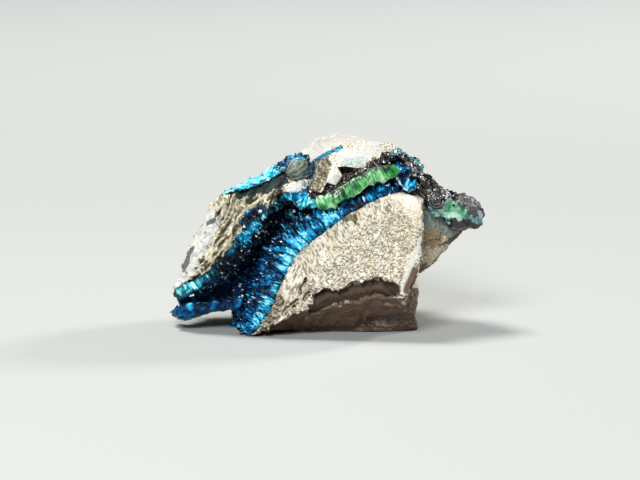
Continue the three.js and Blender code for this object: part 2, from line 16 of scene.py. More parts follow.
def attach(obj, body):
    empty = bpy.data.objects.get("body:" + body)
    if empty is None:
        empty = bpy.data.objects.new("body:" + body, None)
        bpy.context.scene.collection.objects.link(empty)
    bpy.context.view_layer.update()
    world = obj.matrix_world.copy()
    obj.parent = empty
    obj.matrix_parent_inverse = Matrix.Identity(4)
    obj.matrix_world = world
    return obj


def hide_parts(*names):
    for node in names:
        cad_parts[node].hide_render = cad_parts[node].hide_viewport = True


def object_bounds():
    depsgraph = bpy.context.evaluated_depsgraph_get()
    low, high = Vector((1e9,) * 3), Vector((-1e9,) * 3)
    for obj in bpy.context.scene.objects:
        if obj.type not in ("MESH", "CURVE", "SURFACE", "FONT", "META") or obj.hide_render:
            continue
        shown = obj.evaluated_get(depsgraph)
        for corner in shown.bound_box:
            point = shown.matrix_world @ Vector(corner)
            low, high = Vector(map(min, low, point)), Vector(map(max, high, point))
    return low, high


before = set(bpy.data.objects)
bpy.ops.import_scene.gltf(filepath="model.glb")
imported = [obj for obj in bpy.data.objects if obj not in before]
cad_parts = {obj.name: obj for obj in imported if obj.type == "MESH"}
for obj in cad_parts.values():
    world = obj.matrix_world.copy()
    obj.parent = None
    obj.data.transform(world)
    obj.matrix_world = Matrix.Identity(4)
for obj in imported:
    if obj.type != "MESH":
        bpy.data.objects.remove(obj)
cad_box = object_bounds()

MM = 0.001
BODY = "root"

# Directions in the frame.
ACROSS = (1.0, 0.0, 0.0)
BACK = (0.0, 1.0, 0.0)
FRONT = (0.0, -1.0, 0.0)
UP = (0.0, 0.0, 1.0)
DOWN = (0.0, 0.0, -1.0)

# The drawing plane against the frame.
VIEW_TIP = math.radians(10)  # how far the drawing plane is tipped back from upright
DRAWING_LIFT = 0.34  # the drawing's zero lies this far above the face the chip stands on
DRAWING_SHIFT = Vector((0.009, -1.663, 0.0))  # from the drawing's middle to the frame's
CLEAR_OF_FRONT = -30.0  # a depth that is well in front of the specimen
FRONT_DEPTH = -2.0  # about where its front lies

# The camera.
IMAGE_WIDTH = 640
PIXEL = 0.0631  # what one pixel spans at the specimen
CAMERA_DISTANCE = 250.0
AIM = (-8 * PIXEL, 96 * PIXEL, -2.0)  # across, up and back of what is at the middle of the view
SENSOR = 36.0

# Grain of the meshes.
MERGED = 0.0005  # corners of a solid that lie closer than this are one
ROCK_VOXEL = 0.085
ROCK_TRIANGLES = 190000
CRUST_VOXEL = 0.078
FINE_VOXEL = 0.055
SHARD_VOXEL = 0.04
THINNING_LEVELS = 5

# Marks on the surfaces.
MARK_STRAY = 0.8  # how far the edge of a mark wanders
STRAY_SCALE = 1.8
FINE_MARK = 0.3  # a mark that reaches no further than this keeps to its line


def drawn(across, up, back=0.0):
    """A point of the front drawing as a point of the frame, in millimetres."""
    height = (up - back * math.sin(VIEW_TIP)) / math.cos(VIEW_TIP) - DRAWING_LIFT
    return Vector((across, back, height)) + DRAWING_SHIFT


def on_front(solid, stations):
    """Drawn [across, up] stations as points on the front of a solid, straight behind the drawing plane."""
    tree = BVHTree.FromObject(solid, bpy.context.evaluated_depsgraph_get())
    inward = (drawn(0, 0, 1) - drawn(0, 0, 0)).normalized()
    path = []
    for across, up in stations:
        hit = tree.ray_cast(drawn(across, up, CLEAR_OF_FRONT), inward)[0]
        if hit is None:
            hit = tree.find_nearest(drawn(across, up, FRONT_DEPTH))[0]
        path.append(hit)
    return path


# ------------------------------------------------------------------------------------------- node helpers


class Value:
    """A node's output that takes part in expressions: each operator adds its Math or Vector Math node."""

    def __init__(self, nodes, socket):
        self.nodes = nodes
        self.socket = socket

    def is_vector(self):
        return self.socket.type in {"VECTOR", "RGBA"}

    def other(self, name):
        """Another output of the same node."""
        outputs = self.socket.node.outputs
        return Value(self.nodes, next(s for s in outputs if s.name == name and s.enabled))

    def math(self, operation, *terms):
        vector = any(t.is_vector() if isinstance(t, Value) else isinstance(t, (tuple, Vector)) for t in terms)
        kind = "ShaderNodeVectorMath" if vector else "ShaderNodeMath"
        return self.nodes.add(kind, {"operation": operation}, list(terms))

    def __add__(self, term):
        return self.math("ADD", self, term)

    __radd__ = __add__

    def __sub__(self, term):
        return self.math("SUBTRACT", self, term)

    def __rsub__(self, term):
        return self.math("SUBTRACT", term, self)

    def __mul__(self, term):
        return self.math("MULTIPLY", self, term)

    __rmul__ = __mul__

    def __truediv__(self, term):
        return self.math("DIVIDE", self, term)

    def __rtruediv__(self, term):
        return self.math("DIVIDE", term, self)

    def __abs__(self):
        return self.math("ABSOLUTE", self)

    def dot(self, term):
        return self.math("DOT_PRODUCT", self, term).other("Value")

    def length(self):
        return self.nodes.add("ShaderNodeVectorMath", {"operation": "LENGTH"}, [self], "Value")

    def unit(self):
        return self.math("NORMALIZE", self)

    def sine(self):
        return self.math("SINE", self)

    def at_least(self, term):
        return self.math("MAXIMUM", self, term)

    def at_most(self, term):
        return self.math("MINIMUM", self, term)

    def step(self, low, high):
        """0 below low, 1 above high, and smooth between them. With low above high it falls."""
        if low > high:
            return 1 - self.step(high, low)
        settings = {"interpolation_type": "SMOOTHSTEP"}
        inputs = {"Value": self, "From Min": low, "From Max": high}
        return self.nodes.add("ShaderNodeMapRange", settings, inputs)

    def ramp(self, stops):
        return self.nodes.add("ShaderNodeValToRGB", {"stops": stops}, [self])


class Nodes:
    """The nodes of one tree."""

    def __init__(self, tree):
        self.tree = tree

    def add(self, kind, settings=(), inputs=(), output=None):
        """A new node: its settings first, then its sockets by name or in order, as values or links."""
        node = self.tree.nodes.new(kind)
        for name, value in dict(settings).items():
            if name == "stops":
                self.set_stops(node.color_ramp, value)
            else:
                setattr(node, name, value)
        sockets = [s for s in node.inputs if s.enabled]
        if isinstance(inputs, dict):
            pairs = [(next(s for s in sockets if s.name == name), value) for name, value in inputs.items()]
        else:
            pairs = zip(sockets, inputs)
        for socket, value in pairs:
            self.feed(socket, value)
        outputs = [s for s in node.outputs if s.enabled]
        if not outputs:
            return node
        return Value(self, next(s for s in outputs if output in (None, s.name)))

    def feed(self, socket, value):
        if isinstance(value, Value):
            self.tree.links.new(value.socket, socket)
        elif socket.type in {"VECTOR", "RGBA"} and isinstance(value, (int, float)):
            socket.default_value = [value] * len(socket.default_value)
        else:
            socket.default_value = value

    @staticmethod
    def set_stops(ramp, stops):
        while len(ramp.elements) < len(stops):
            ramp.elements.new(0.5)
        for element, (place, colour) in zip(ramp.elements, stops):
            element.position = place
            element.color = (*colour, 1)

    def mix(self, below, above, share):
        """below where share is 0, above where it is 1."""
        inputs = {"Factor": share, "A": below, "B": above}
        return self.add("ShaderNodeMix", {"data_type": "FLOAT"}, inputs)

    def tint(self, below, above, share):
        """A mix of two colours, each three numbers or a link."""
        ends = [(*c, 1) if isinstance(c, tuple) else c for c in (below, above)]
        inputs = {"Factor": share, "A": ends[0], "B": ends[1]}
        return self.add("ShaderNodeMix", {"data_type": "RGBA"}, inputs)

    def layered(self, colour, layers):
        """A colour under layers of others, each given with its share."""
        for above, share in layers:
            colour = self.tint(colour, above, share)
        return colour

    def noise(self, point, scale, detail=2.0, roughness=0.5, distortion=0.0):
        inputs = {"Vector": point, "Scale": scale, "Detail": detail}
        inputs.update({"Roughness": roughness, "Distortion": distortion})
        return self.add("ShaderNodeTexNoise", (), inputs, "Fac")

    def drift(self, point, scale, detail=1.0):
        """A smooth vector that wanders round zero, each part of it up to about a quarter."""
        inputs = {"Vector": point, "Scale": scale, "Detail": detail}
        return self.add("ShaderNodeTexNoise", (), inputs, "Color") - (0.5, 0.5, 0.5)

    def strayed(self, point, scale, reach, detail=1.0):
        """The point moved about, which bends a straight pattern."""
        return point + self.drift(point, scale, detail) * reach

    def turned(self, point, degrees):
        """The point turned in the drawing's plane, which lays a stretched pattern at a slant."""
        inputs = {"Vector": point, "Angle": math.radians(degrees)}
        return self.add("ShaderNodeVectorRotate", {"rotation_type": "Y_AXIS"}, inputs)

    def cells(self, point, scale, feature="F1", output="Distance"):
        inputs = {"Vector": point, "Scale": scale}
        return self.add("ShaderNodeTexVoronoi", {"feature": feature}, inputs, output)

    def reading(self, name, output="Fac"):
        """What a mesh attribute holds, for a material."""
        return self.add("ShaderNodeAttribute", {"attribute_name": name}, (), output)

    @staticmethod
    def near(point, places, reach, core):
        """1 at the places, falling to 0 at the reach from them."""
        share = None
        for place in places:
            spot = (point - place).length().step(reach, reach * core)
            share = spot if share is None else share.at_least(spot)
        return share

    def near_path(self, point, path, reach, core, flat=0.45):
        """1 along a path of points, falling to 0 at the reach from it. Depth counts less than breadth."""
        share = None
        for start, end in zip(path, path[1:]):
            run = end - start
            reached = ((point - start).dot(run) / run.length_squared).at_least(0.0).at_most(1.0)
            inputs = {"Vector": run, "Scale": reached}
            along = self.add("ShaderNodeVectorMath", {"operation": "SCALE"}, inputs)
            off = ((point - start - along) * (1.0, flat, 1.0)).length().step(reach, reach * core)
            share = off if share is None else share.at_least(off)
        return share


# ------------------------------------------------------------------------------------------- mesh helpers


def new_object(name, mesh):
    piece = bpy.data.objects.new(name, mesh)
    bpy.context.scene.collection.objects.link(piece)
    return piece


def evaluated(piece, name):
    """The piece with its modifiers applied, as a plain mesh object that takes its place."""
    graph = bpy.context.evaluated_depsgraph_get()
    mesh = bpy.data.meshes.new_from_object(piece.evaluated_get(graph))
    bpy.data.objects.remove(piece)
    mesh.name = name
    return new_object(name, mesh)


def node_copy(node, name):
    """A merged copy of a solid, in millimetres."""
    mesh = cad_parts[node].data.copy()
    mesh.transform(Matrix.Scale(1 / MM, 4))
    mesh.materials.clear()
    work = bmesh.new()
    work.from_mesh(mesh)
    bmesh.ops.remove_doubles(work, verts=work.verts, dist=MERGED)
    work.to_mesh(mesh)
    work.free()
    return new_object(name, mesh)


def remeshed(piece, voxel, smoothing=0):
    modifier = piece.modifiers.new("grain", "REMESH")
    modifier.mode = "VOXEL"
    modifier.voxel_size = voxel
    if smoothing:
        rounding = piece.modifiers.new("rounding", "SMOOTH")
        rounding.iterations = smoothing
    return evaluated(piece, piece.name)


def swept(piece):
    """Clears away the crumbs that the voxels left beside a piece: only its largest connected part stays."""
    work = bmesh.new()
    work.from_mesh(piece.data)
    waiting = set(work.verts)
    parts = []
    while waiting:
        part = [waiting.pop()]
        for corner in part:
            for edge in corner.link_edges:
                other = edge.other_vert(corner)
                if other in waiting:
                    waiting.remove(other)
                    part.append(other)
        parts.append(part)
    parts.sort(key=len)
    crumbs = [corner for part in parts[:-1] for corner in part]
    bmesh.ops.delete(work, geom=crumbs, context="VERTS")
    work.to_mesh(piece.data)
    work.free()


def readings(piece, name):
    """An attribute's values, one a vertex."""
    data = piece.data.attributes[name].data
    values = [0.0] * len(data)
    data.foreach_get("value", values)
    return values


def thinned(piece, most, spared):
    """The piece with no more triangles than the most, taken where the named attribute is low."""
    triangles = sum(len(face.vertices) - 2 for face in piece.data.polygons)
    if triangles <= most:
        return piece
    group = piece.vertex_groups.new(name="plain")
    shares = readings(piece, spared)
    top = THINNING_LEVELS - 1
    for level in range(THINNING_LEVELS):
        chosen = [i for i, share in enumerate(shares) if min(top, int(share * THINNING_LEVELS)) == level]
        group.add(chosen, 1 - level / THINNING_LEVELS, "REPLACE")
    modifier = piece.modifiers.new("thinning", "DECIMATE")
    modifier.ratio = most / triangles
    modifier.use_collapse_triangulate = True
    modifier.vertex_group = group.name
    modifier.vertex_group_factor = 2.0
    return evaluated(piece, piece.name)


# ------------------------------------------------------------------------------------- geometry node helpers


def geometry_tree(name, inputs):
    """A tree with a geometry in and out and the named inputs, each a number or the kind of thing it takes."""
    tree = bpy.data.node_groups.new(name, "GeometryNodeTree")
    for way in ("INPUT", "OUTPUT"):
        tree.interface.new_socket("Geometry", in_out=way, socket_type="NodeSocketGeometry")
    for label, value in inputs.items():
        kind = {float: "Float", int: "Int"}.get(type(value), value)
        socket = tree.interface.new_socket(label, in_out="INPUT", socket_type=f"NodeSocket{kind}")
        if kind != value:
            socket.default_value = value
    nodes = Nodes(tree)
    return nodes, nodes.add("NodeGroupInput")


def relief_tree(name, inputs):
    """A tree that shapes a surface: its nodes, its inputs, and the place and normal of a surface point."""
    nodes, given = geometry_tree(name, inputs)
    spot = nodes.add("GeometryNodeInputPosition")
    normal = nodes.add("GeometryNodeInputNormal", (), (), "Normal")
    return nodes, given, spot, normal


def close_tree(nodes, geometry):
    nodes.add("NodeGroupOutput", (), [geometry])
    return nodes.tree


def dressed(piece, tree, values=()):
    """The piece after a Geometry Nodes tree, whose inputs are set by their identifiers."""
    modifier = piece.modifiers.new(tree.name, "NODES")
    modifier.node_group = tree
    identifiers = {s.name: s.identifier for s in tree.interface.items_tree if s.in_out == "INPUT"}
    for label, value in dict(values).items():
        modifier[identifiers[label]] = value
    return evaluated(piece, piece.name)


def attribute(nodes, name, kind="FLOAT"):
    return nodes.add("GeometryNodeInputNamedAttribute", {"data_type": kind}, {"Name": name}, "Attribute")


def moved(nodes, geometry, offset):
    return nodes.add("GeometryNodeSetPosition", (), {"Geometry": geometry, "Offset": offset})


def stored(nodes, geometry, values):
    """The geometry with values kept on it under their names, for its material and its crystals to read."""
    for name, value in values.items():
        kind = "FLOAT_VECTOR" if value.is_vector() else "FLOAT"
        settings = {"data_type": kind, "domain": "POINT"}
        inputs = {"Geometry": geometry, "Name": name, "Value": value}
        geometry = nodes.add("GeometryNodeStoreNamedAttribute", settings, inputs)
    return geometry


def grown_from(nodes, spot, solid):
    """Where a point of a crust is rooted on the solid under it, how far it grew from there, and which way."""
    settings = {"transform_space": "RELATIVE"}
    under = nodes.add("GeometryNodeObjectInfo", settings, {"Object": solid}, "Geometry")
    inputs = {"Geometry": under, "Sample Position": spot}
    root = nodes.add("GeometryNodeProximity", {"target_element": "FACES"}, inputs, "Position")
    return root, root.other("Distance"), (spot - root).unit()


def marked(nodes, spot, solid, table):
    """The share of each mark in a table: 1 on its paths over the solid, and ragged at its reach."""
    strayed = nodes.strayed(spot, STRAY_SCALE, MARK_STRAY, 2.0)
    marks = {}
    for name, (paths, reach, core) in table.items():
        place = strayed if reach > FINE_MARK else spot
        share = None
        for path in paths:
            line = nodes.near_path(place, on_front(solid, path), reach, core)
            share = line if share is None else share.at_least(line)
        marks[name] = share
    return marks


# --------------------------------------------------------------------------------------- finishing helpers


def new_finish(name):
    """A material, its nodes, and the place of a point of the surface in millimetres."""
    material = bpy.data.materials.new(name)
    material.use_nodes = True
    material.node_tree.nodes.clear()
    nodes = Nodes(material.node_tree)
    point = nodes.add("ShaderNodeTexCoord", (), (), "Object") * (1 / MM)
    return material, nodes, point


def close_finish(nodes, colour, roughness, specular, bump=None, others=()):
    """Ends a material in one shader. A bump is its strength, its depth in millimetres and its height."""
    sockets = {"Base Color": colour, "Roughness": roughness, "Specular IOR Level": specular, **dict(others)}
    if bump:
        strength, depth, height = bump
        inputs = {"Strength": strength, "Distance": depth * MM, "Height": height}
        sockets["Normal"] = nodes.add("ShaderNodeBump", (), inputs)
    shader = nodes.add("ShaderNodeBsdfPrincipled", (), sockets)
    nodes.add("ShaderNodeOutputMaterial", (), {"Surface": shader})


def placed(piece, material, stands_for=(), smooth=True):
    """Brings a finished piece into metres, gives it its material, and joins it to the frame."""
    if stands_for:
        swept(piece)
    mesh = piece.data
    mesh.transform(Matrix.Scale(MM, 4))
    mesh.materials.clear()
    mesh.materials.append(material)
    mesh.polygons.foreach_set("use_smooth", [smooth] * len(mesh.polygons))
    mesh.polygons.foreach_set("material_index", [0] * len(mesh.polygons))
    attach(piece, BODY)
    if stands_for:
        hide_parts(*stands_for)


# ------------------------------------------------------------------------------------- patterns of the stone

# The fissure's middle line on the drawing. What lies above and left of it is the ribbed block.
FISSURE_LOW = (-8.0, 1.2)
FISSURE_HIGH = (-0.8, 7.9)
# How the patterns slant from upright, in degrees: worms, the streaks by the fissure, and ribs.
WORM_SLANT = 25
BRUSH_SLANT = 24
RIB_SLANT = -34


def fissure_side(point):
    """How far a point lies above and left of the fissure's middle line, in millimetres."""
    low, high = drawn(*FISSURE_LOW, FRONT_DEPTH), drawn(*FISSURE_HIGH, FRONT_DEPTH)
    along = (high - low).normalized()
    return (point - low).dot(Vector((-along.z, 0, along.x)))


def left_block(point):
    return fissure_side(point).step(0.2, 0.9) * (1 - point.dot(ACROSS).step(-3.5, -2.7))


def worms(nodes, point):
    """1 on the low ridges that wander over the stone, 0 in the narrow valleys between them."""
    laid = nodes.turned(nodes.strayed(point, 1.2, 0.5), WORM_SLANT) * (0.8, 1.0, 1.15)
    return abs(nodes.noise(laid, 4.8, 1.0, 0.5, 0.5) - 0.5).step(0.0, 0.12)


def brush(nodes, point, slant):
    """Short fine streaks at a slant from upright, 0 to 1."""
    laid = nodes.turned(nodes.strayed(point, 2.0, 0.3), slant) * (1.0, 0.8, 0.3)
    return nodes.noise(laid, 8.0, 1.2, 0.5, 0.4).step(0.36, 0.58)


def grooves(nodes, point, brushed, raked):
    """The pattern of the front: worms, with streaks across the fissure's edge above and along it below."""
    pattern = nodes.mix(worms(nodes, point), brush(nodes, point, BRUSH_SLANT), brushed * 0.8)
    return nodes.mix(pattern, brush(nodes, point, -BRUSH_SLANT), raked * 0.85)


def ribs(nodes, point):
    """Sharp crests that lean to the left as they go down: 1 on a crest."""
    bent = nodes.strayed(point, 1.3, 0.55, 2.0)
    laid = nodes.turned(bent, RIB_SLANT) * (1.0, 0.5, 0.17)
    crest = 1 - abs(nodes.noise(laid, 3.1, 1.2, 0.5) - 0.5) * 7.0
    cross = 1 - abs(nodes.noise(bent, 2.4, 1.0) - 0.5) * 6.0
    return crest.at_least(0.0) * 0.8 + cross.at_least(0.0) * 0.2


def fractures(nodes, point, scale):
    """Broken facets: each cell of the stone tilts its own way."""
    bent = nodes.strayed(point, scale * 1.6, 0.5 / scale, 2.0)
    tilt = nodes.cells(bent, scale, "F1", "Color")
    return (tilt - (0.5, 0.5, 0.5)).dot(bent - tilt.other("Position"))


def crumbled(nodes, point, scale):
    """Small lumps packed together: 0 in the middle of each, and rising to its edge."""
    return nodes.cells(nodes.strayed(point, 3.0, 0.4), scale)


# ------------------------------------------------------------------------------------------- the host rock

# Stained or marked places on the front of the rock, some of them places of painted shade and one of a painted
# highlight: paths of
# [across, up], how far they reach, and how much of the reach is full strength.
ROCK_MARKS = {
    "crack": (
        [
            [(-1.4, 3.6), (-1.5, 3.25), (-1.7, 2.95), (-1.74, 2.6)],
            [(-1.25, 2.6), (-1.45, 2.4), (-1.5, 2.15)],
            [(-1.98, 2.2), (-2.15, 1.95), (-2.35, 1.9)],
            [(-2.6, 1.7), (-2.8, 1.4)],
        ],
        0.17, 0.5,
    ),
    # Painted shadow: a darker underside along the break.
    "break": (
        [
            [
                (-4.16, 0.13), (-2.71, 1.07), (-1.77, 1.75), (-0.88, 2.6), (0.1, 3.0), (0.63, 2.8),
                (1.39, 3.2), (3.3, 3.6), (4.35, 2.75),
            ],
        ],
        0.6, 0.2,
    ),
    # The chipped strip is set back and painted with dark brown shade.
    "chip": (
        [
            [(-0.6, 2.3), (-0.1, 2.55), (0.6, 2.35), (1.39, 2.8), (2.52, 3.05), (3.3, 3.2), (4.1, 2.8)],
            [(-0.9, 1.7), (-0.13, 2.05), (1.39, 2.35), (2.5, 2.75), (3.7, 2.7)],
        ],
        0.46, 0.8,
    ),
    # Painted shadow: a brown strip beside the right edge.
    "side": ([[(4.95, 2.9), (5.2, 3.5), (5.45, 4.1)]], 0.3, 0.6),
    # Painted highlight: a pale line along the right rim, which is also raised a little.
    "rim": (
        [[(4.54, 9.15), (5.3, 9.02), (6.06, 8.71), (5.99, 8.2), (5.75, 5.9), (5.15, 4.4), (4.6, 2.8)]],
        0.26, 0.5,
    ),
    "pale_side": ([[(6.3, 5.1), (6.7, 4.8), (7.1, 5.2)]], 0.7, 0.4),
    # Painted shadow under the blue band, over a dark olive stain.
    "blot": ([[(1.15, 7.5), (1.6, 7.4)]], 0.4, 0.4),
    "tinge": ([[(1.1, 11.0), (1.7, 11.05), (2.4, 11.0)]], 0.36, 0.2),
    "brushed": ([[(-1.64, 4.29), (-0.19, 5.74), (1.39, 7.07), (3.28, 8.27), (4.67, 8.71)]], 0.85, 0.4),
    "raked": ([[(-2.2, 4.2), (-2.2, 3.2), (-2.7, 2.2), (-3.3, 1.2)]], 0.7, 0.5),
    "pale": ([[(-1.9, 11.7), (-0.63, 12.4), (0.44, 12.7), (2.0, 12.6)]], 1.3, 0.6),
    "block": ([[(1.0, 11.3), (2.0, 11.5), (3.0, 11.6)]], 0.7, 0.6),
    "smooth": ([[(4.7, 8.9), (5.6, 8.5), (5.7, 7.7)]], 1.0, 0.4),
    "olive": ([[(-4.1, 0.2), (-3.7, 1.01), (-3.4, 1.7), (-3.2, 2.1)]], 0.56, 0.5),
    # Painted shade: the base darkened to brown.
    "foot": ([[(-2.0, 0.6), (2.0, 1.0), (5.6, 0.8)], [(2.6, 1.9), (5.4, 1.7)]], 1.5, 0.7),
    # The slate and brown marks: the stone's teal-grey and brown, darkened as painted shade below the black
    # crust.
    "slate": ([[(6.18, 7.38), (6.81, 7.07), (7.7, 6.75), (8.46, 6.44)]], 0.8, 0.4),
    "brown": ([[(6.6, 6.1), (6.5, 5.3), (6.3, 4.7)]], 0.9, 0.6),
    "corner": ([[(5.6, 8.8), (5.95, 8.5)]], 0.5, 0.3),
    "edge": ([[(5.95, 7.3), (5.9, 6.4), (5.85, 5.6)]], 0.4, 0.4),
    "facet": ([[(-7.55, 7.19), (-8.3, 5.87), (-9.05, 4.54), (-9.4, 3.41)]], 0.95, 0.7),
    "speck": ([[(-7.25, 7.6), (-7.6, 7.1)], [(-8.8, 5.4), (-9.2, 4.3)]], 0.42, 0.5),
    "wall": (
        [
            [(-2.65, 8.75), (-3.3, 8.25), (-4.1, 7.85), (-4.95, 7.2), (-5.4, 6.5)],
            [(-5.4, 6.5), (-6.05, 5.6), (-6.9, 4.6), (-7.6, 3.7)],
        ],
        0.6, 0.6,
    ),
    "strip_shade": ([[(-5.55, 9.09), (-4.61, 9.28), (-3.66, 9.46), (-2.9, 9.84), (-2.78, 10.29)]], 0.45, 0.6),
    "wedge": ([[(-0.38, 10.79), (-0.63, 10.1), (-1.01, 9.4)]], 0.75, 0.5),
    "white": ([[(-2.27, 9.28), (-1.83, 9.4), (-1.39, 9.72)]], 0.36, 0.6),
    "hollow": ([[(1.01, 10.41), (1.77, 10.47), (2.78, 10.54), (3.47, 10.92)]], 0.55, 0.6),
    "notch": ([[(-1.2, 10.35), (-0.82, 11.07), (-0.38, 11.36), (0.13, 11.61), (0.82, 11.93)]], 0.15, 0.5),
    "vein": ([[(-0.95, 11.0), (-0.95, 10.47), (-1.2, 9.84), (-1.39, 9.21), (-1.26, 8.9)]], 0.2, 0.6),
    "ceiling": (
        [[(-2.78, 8.77), (-2.27, 8.83), (-1.77, 8.9), (-1.45, 8.77)], [(3.98, 9.9), (4.1, 9.3)]],
        0.42, 0.6,
    ),
    "wall_dark": ([[(-7.3, 4.2), (-6.4, 5.1)]], 0.6, 0.4),
    # Painted light: bright patches where light shines through the wall's crystals.
    "spark": (
        [[(-5.3, 6.15), (-5.0, 6.6), (-4.7, 6.9)], [(-4.2, 7.6), (-3.8, 7.95)], [(-3.3, 8.4), (-3.2, 8.3)]],
        0.5, 0.4,
    ),
    "top_edge": (
        [[(1.5, 10.85), (1.7, 10.95)], [(3.05, 11.1), (3.3, 11.15)], [(3.9, 11.75), (4.2, 11.85)]],
        0.2, 0.3,
    ),
}
# Faces turned down past this are painted with brown shade in the finish.
BREAK_LEAN = 0.18  # how far the face has to turn down before it counts as broken away underneath


def rock_relief(solid):
    """Wandering ridges on the front, crests on the left block, broken facets behind, and a few cracks."""
    nodes, given, spot, normal = relief_tree("rock relief", {
        "Ridge height": 0.07, "Rib height": 0.38, "Lump height": 0.16, "Facet height": 0.17,
        "Crack depth": 0.25, "Crumble height": 0.6, "Grain height": 0.1, "Chunk height": 0.16,
        "Rim height": 0.04, "Speck depth": 0.08, "Sunk": 0.04, "Tooth height": 0.8,
    })
    size = given.other
    marks = marked(nodes, spot, solid, ROCK_MARKS)
    up, forward = spot.dot(UP), normal.dot(FRONT)
    front = forward.step(-0.2, 0.1)
    left = left_block(spot)
    # High on the front, a hollow that turns down is still part of the pale face.
    high = up.step(3.6, 4.0) * forward.step(0.8, 0.95)
    chip = marks["chip"] * front
    # Faces that turn down, the chipped strip and a strip by the right edge get painted shade in the finish.
    lean = normal.dot(DOWN) + (nodes.noise(spot, 2.2, 2.0) - 0.5) * 0.2
    under = lean.step(BREAK_LEAN, BREAK_LEAN + 0.1) * (1 - high)
    under = under.at_least(chip).at_least(marks["side"] * front) * (1 - marks["pale_side"])
    face = normal.dot((0.0, -1.0, 0.1)).step(0.3, 0.6) * (1 - left) * (1 - under)
    calm = (1 - under * 0.7) * (1 - marks["smooth"] * 0.6)
    calm = calm * (1 - marks["pale"] * 0.8) * (1 - marks["block"] * 0.7)
    worm = grooves(nodes, spot, marks["brushed"], marks["raked"])
    crumble = crumbled(nodes, spot, 2.8) + nodes.cells(spot, 6.0) * 0.4 - 0.15
    grain = (nodes.noise(spot, 6.0, 2.0, 0.6) - 0.5) * size("Grain height")
    chunk = (nodes.noise(spot, 2.2, 3.0, 0.6) - 0.5) * size("Chunk height")
    height = (
        (worm - 0.5) * size("Ridge height") * (0.5 + face * 0.5) * calm
        + (ribs(nodes, spot) - 0.5) * size("Rib height") * left * (1 - marks["facet"] * 0.85)
        + (nodes.noise(spot, 0.8, 3.0, 0.55) - 0.5) * size("Lump height")
        + (fractures(nodes, spot, 0.5) + fractures(nodes, spot, 1.5)) * size("Facet height") * (1 - face)
        + (0.4 - crumble) * size("Crumble height") * marks["wedge"].at_least(marks["olive"])
        + grain * (1 - marks["pale"] * 0.7) * (1 - face * 0.65)
        + chunk * (1 - face) * (1 - marks["pale"])
        - size("Sunk")
        - marks["crack"] * size("Crack depth")
        + marks["rim"] * size("Rim height")
        - marks["speck"] * size("Speck depth")
    )
    teeth = (nodes.noise(spot * (1.0, 1.0, 0.25), 2.6, 1.5) - 0.5) * marks["break"] * size("Tooth height")
    # The top corner is drawn out, the edge below it is drawn in, and the chipped strip is set back.
    squared = marks["corner"] * (0.12, 0.0, 0.2) + marks["edge"] * (-0.14, 0.0, 0.0) + chip * (0.0, 0.4, 0.0)
    # The face that the chip stands on stays flat.
    free = up.step(0.02, 0.35)
    shaped = moved(nodes, given, (normal * height + squared + teeth * UP) * free)
    # What the crystals read: how bright they are coloured, which is random tone with painted light in the
    # spark patches, and how much they lean to teal.
    glow = 0.62 + (nodes.noise(spot, 2.0, 1.0) - 0.5) * 1.0 - marks["vein"] * 0.45 - marks["wall"] * 0.32
    glow = glow + marks["spark"] * 0.62 + marks["ceiling"] * 0.08 - marks["wall_dark"] * 0.2
    teal = marks["wall"] * 0.4 - marks["spark"] * 0.5
    marks.update({"left": left, "under": under, "face": face, "front": front, "glow": glow, "teal": teal})
    # Faces that look straight up, which the finish greys as painted shade.
    marks["level"] = normal.dot(UP).step(0.7, 0.98)
    marks["rest"] = spot
    marks["growth"] = normal * 0.5 + (0.35, -0.5, -0.5)
    return close_tree(nodes, stored(nodes, shaped, marks))


# What colours the stone at its marks, stains and at a few marks painted shade: its mark, its colour, how
# strong it is, and how dark it is in the pits.
STAINS_AND_SHADE = [
    ("olive", (0.66, 0.61, 0.42), 0.8, 0.45),
    # The slate and brown marks: the stone's teal-grey and brown, darkened as painted shade below the black
    # crust.
    ("slate", (0.23, 0.31, 0.285), 0.9, 0.4),
    ("brown", (0.4, 0.285, 0.17), 0.9, 0.3),
    # Painted shade on the base.
    ("foot", (0.2, 0.14, 0.105), 0.9, 0.7),
    ("pale_side", (0.74, 0.65, 0.5), 0.85, 0.4),
    # Painted shadow under the blue band, over a dark olive stain.
    ("blot", (0.16, 0.14, 0.085), 0.85, 0.7),
    ("tinge", (0.5, 0.64, 0.6), 0.65, 0.3),
    ("wedge", (0.61, 0.55, 0.39), 0.8, 0.62),
    ("hollow", (0.035, 0.022, 0.015), 0.95, 0.7),
    ("strip_shade", (0.016, 0.05, 0.052), 0.95, 0.7),
    ("speck", (0.11, 0.125, 0.12), 0.9, 0.65),
    ("wall", (0.003, 0.03, 0.07), 0.97, 0.7),
    ("notch", (0.01, 0.22, 0.33), 0.9, 0.7),
    ("vein", (0.003, 0.025, 0.075), 0.97, 0.6),
    ("ceiling", (0.004, 0.08, 0.18), 0.9, 0.7),
]
RIB_COLOURS = [
    (0.14, (0.05, 0.047, 0.03)),
    (0.37, (0.26, 0.24, 0.155)),
    (0.64, (0.52, 0.48, 0.335)),
    (0.92, (0.8, 0.76, 0.62)),
]


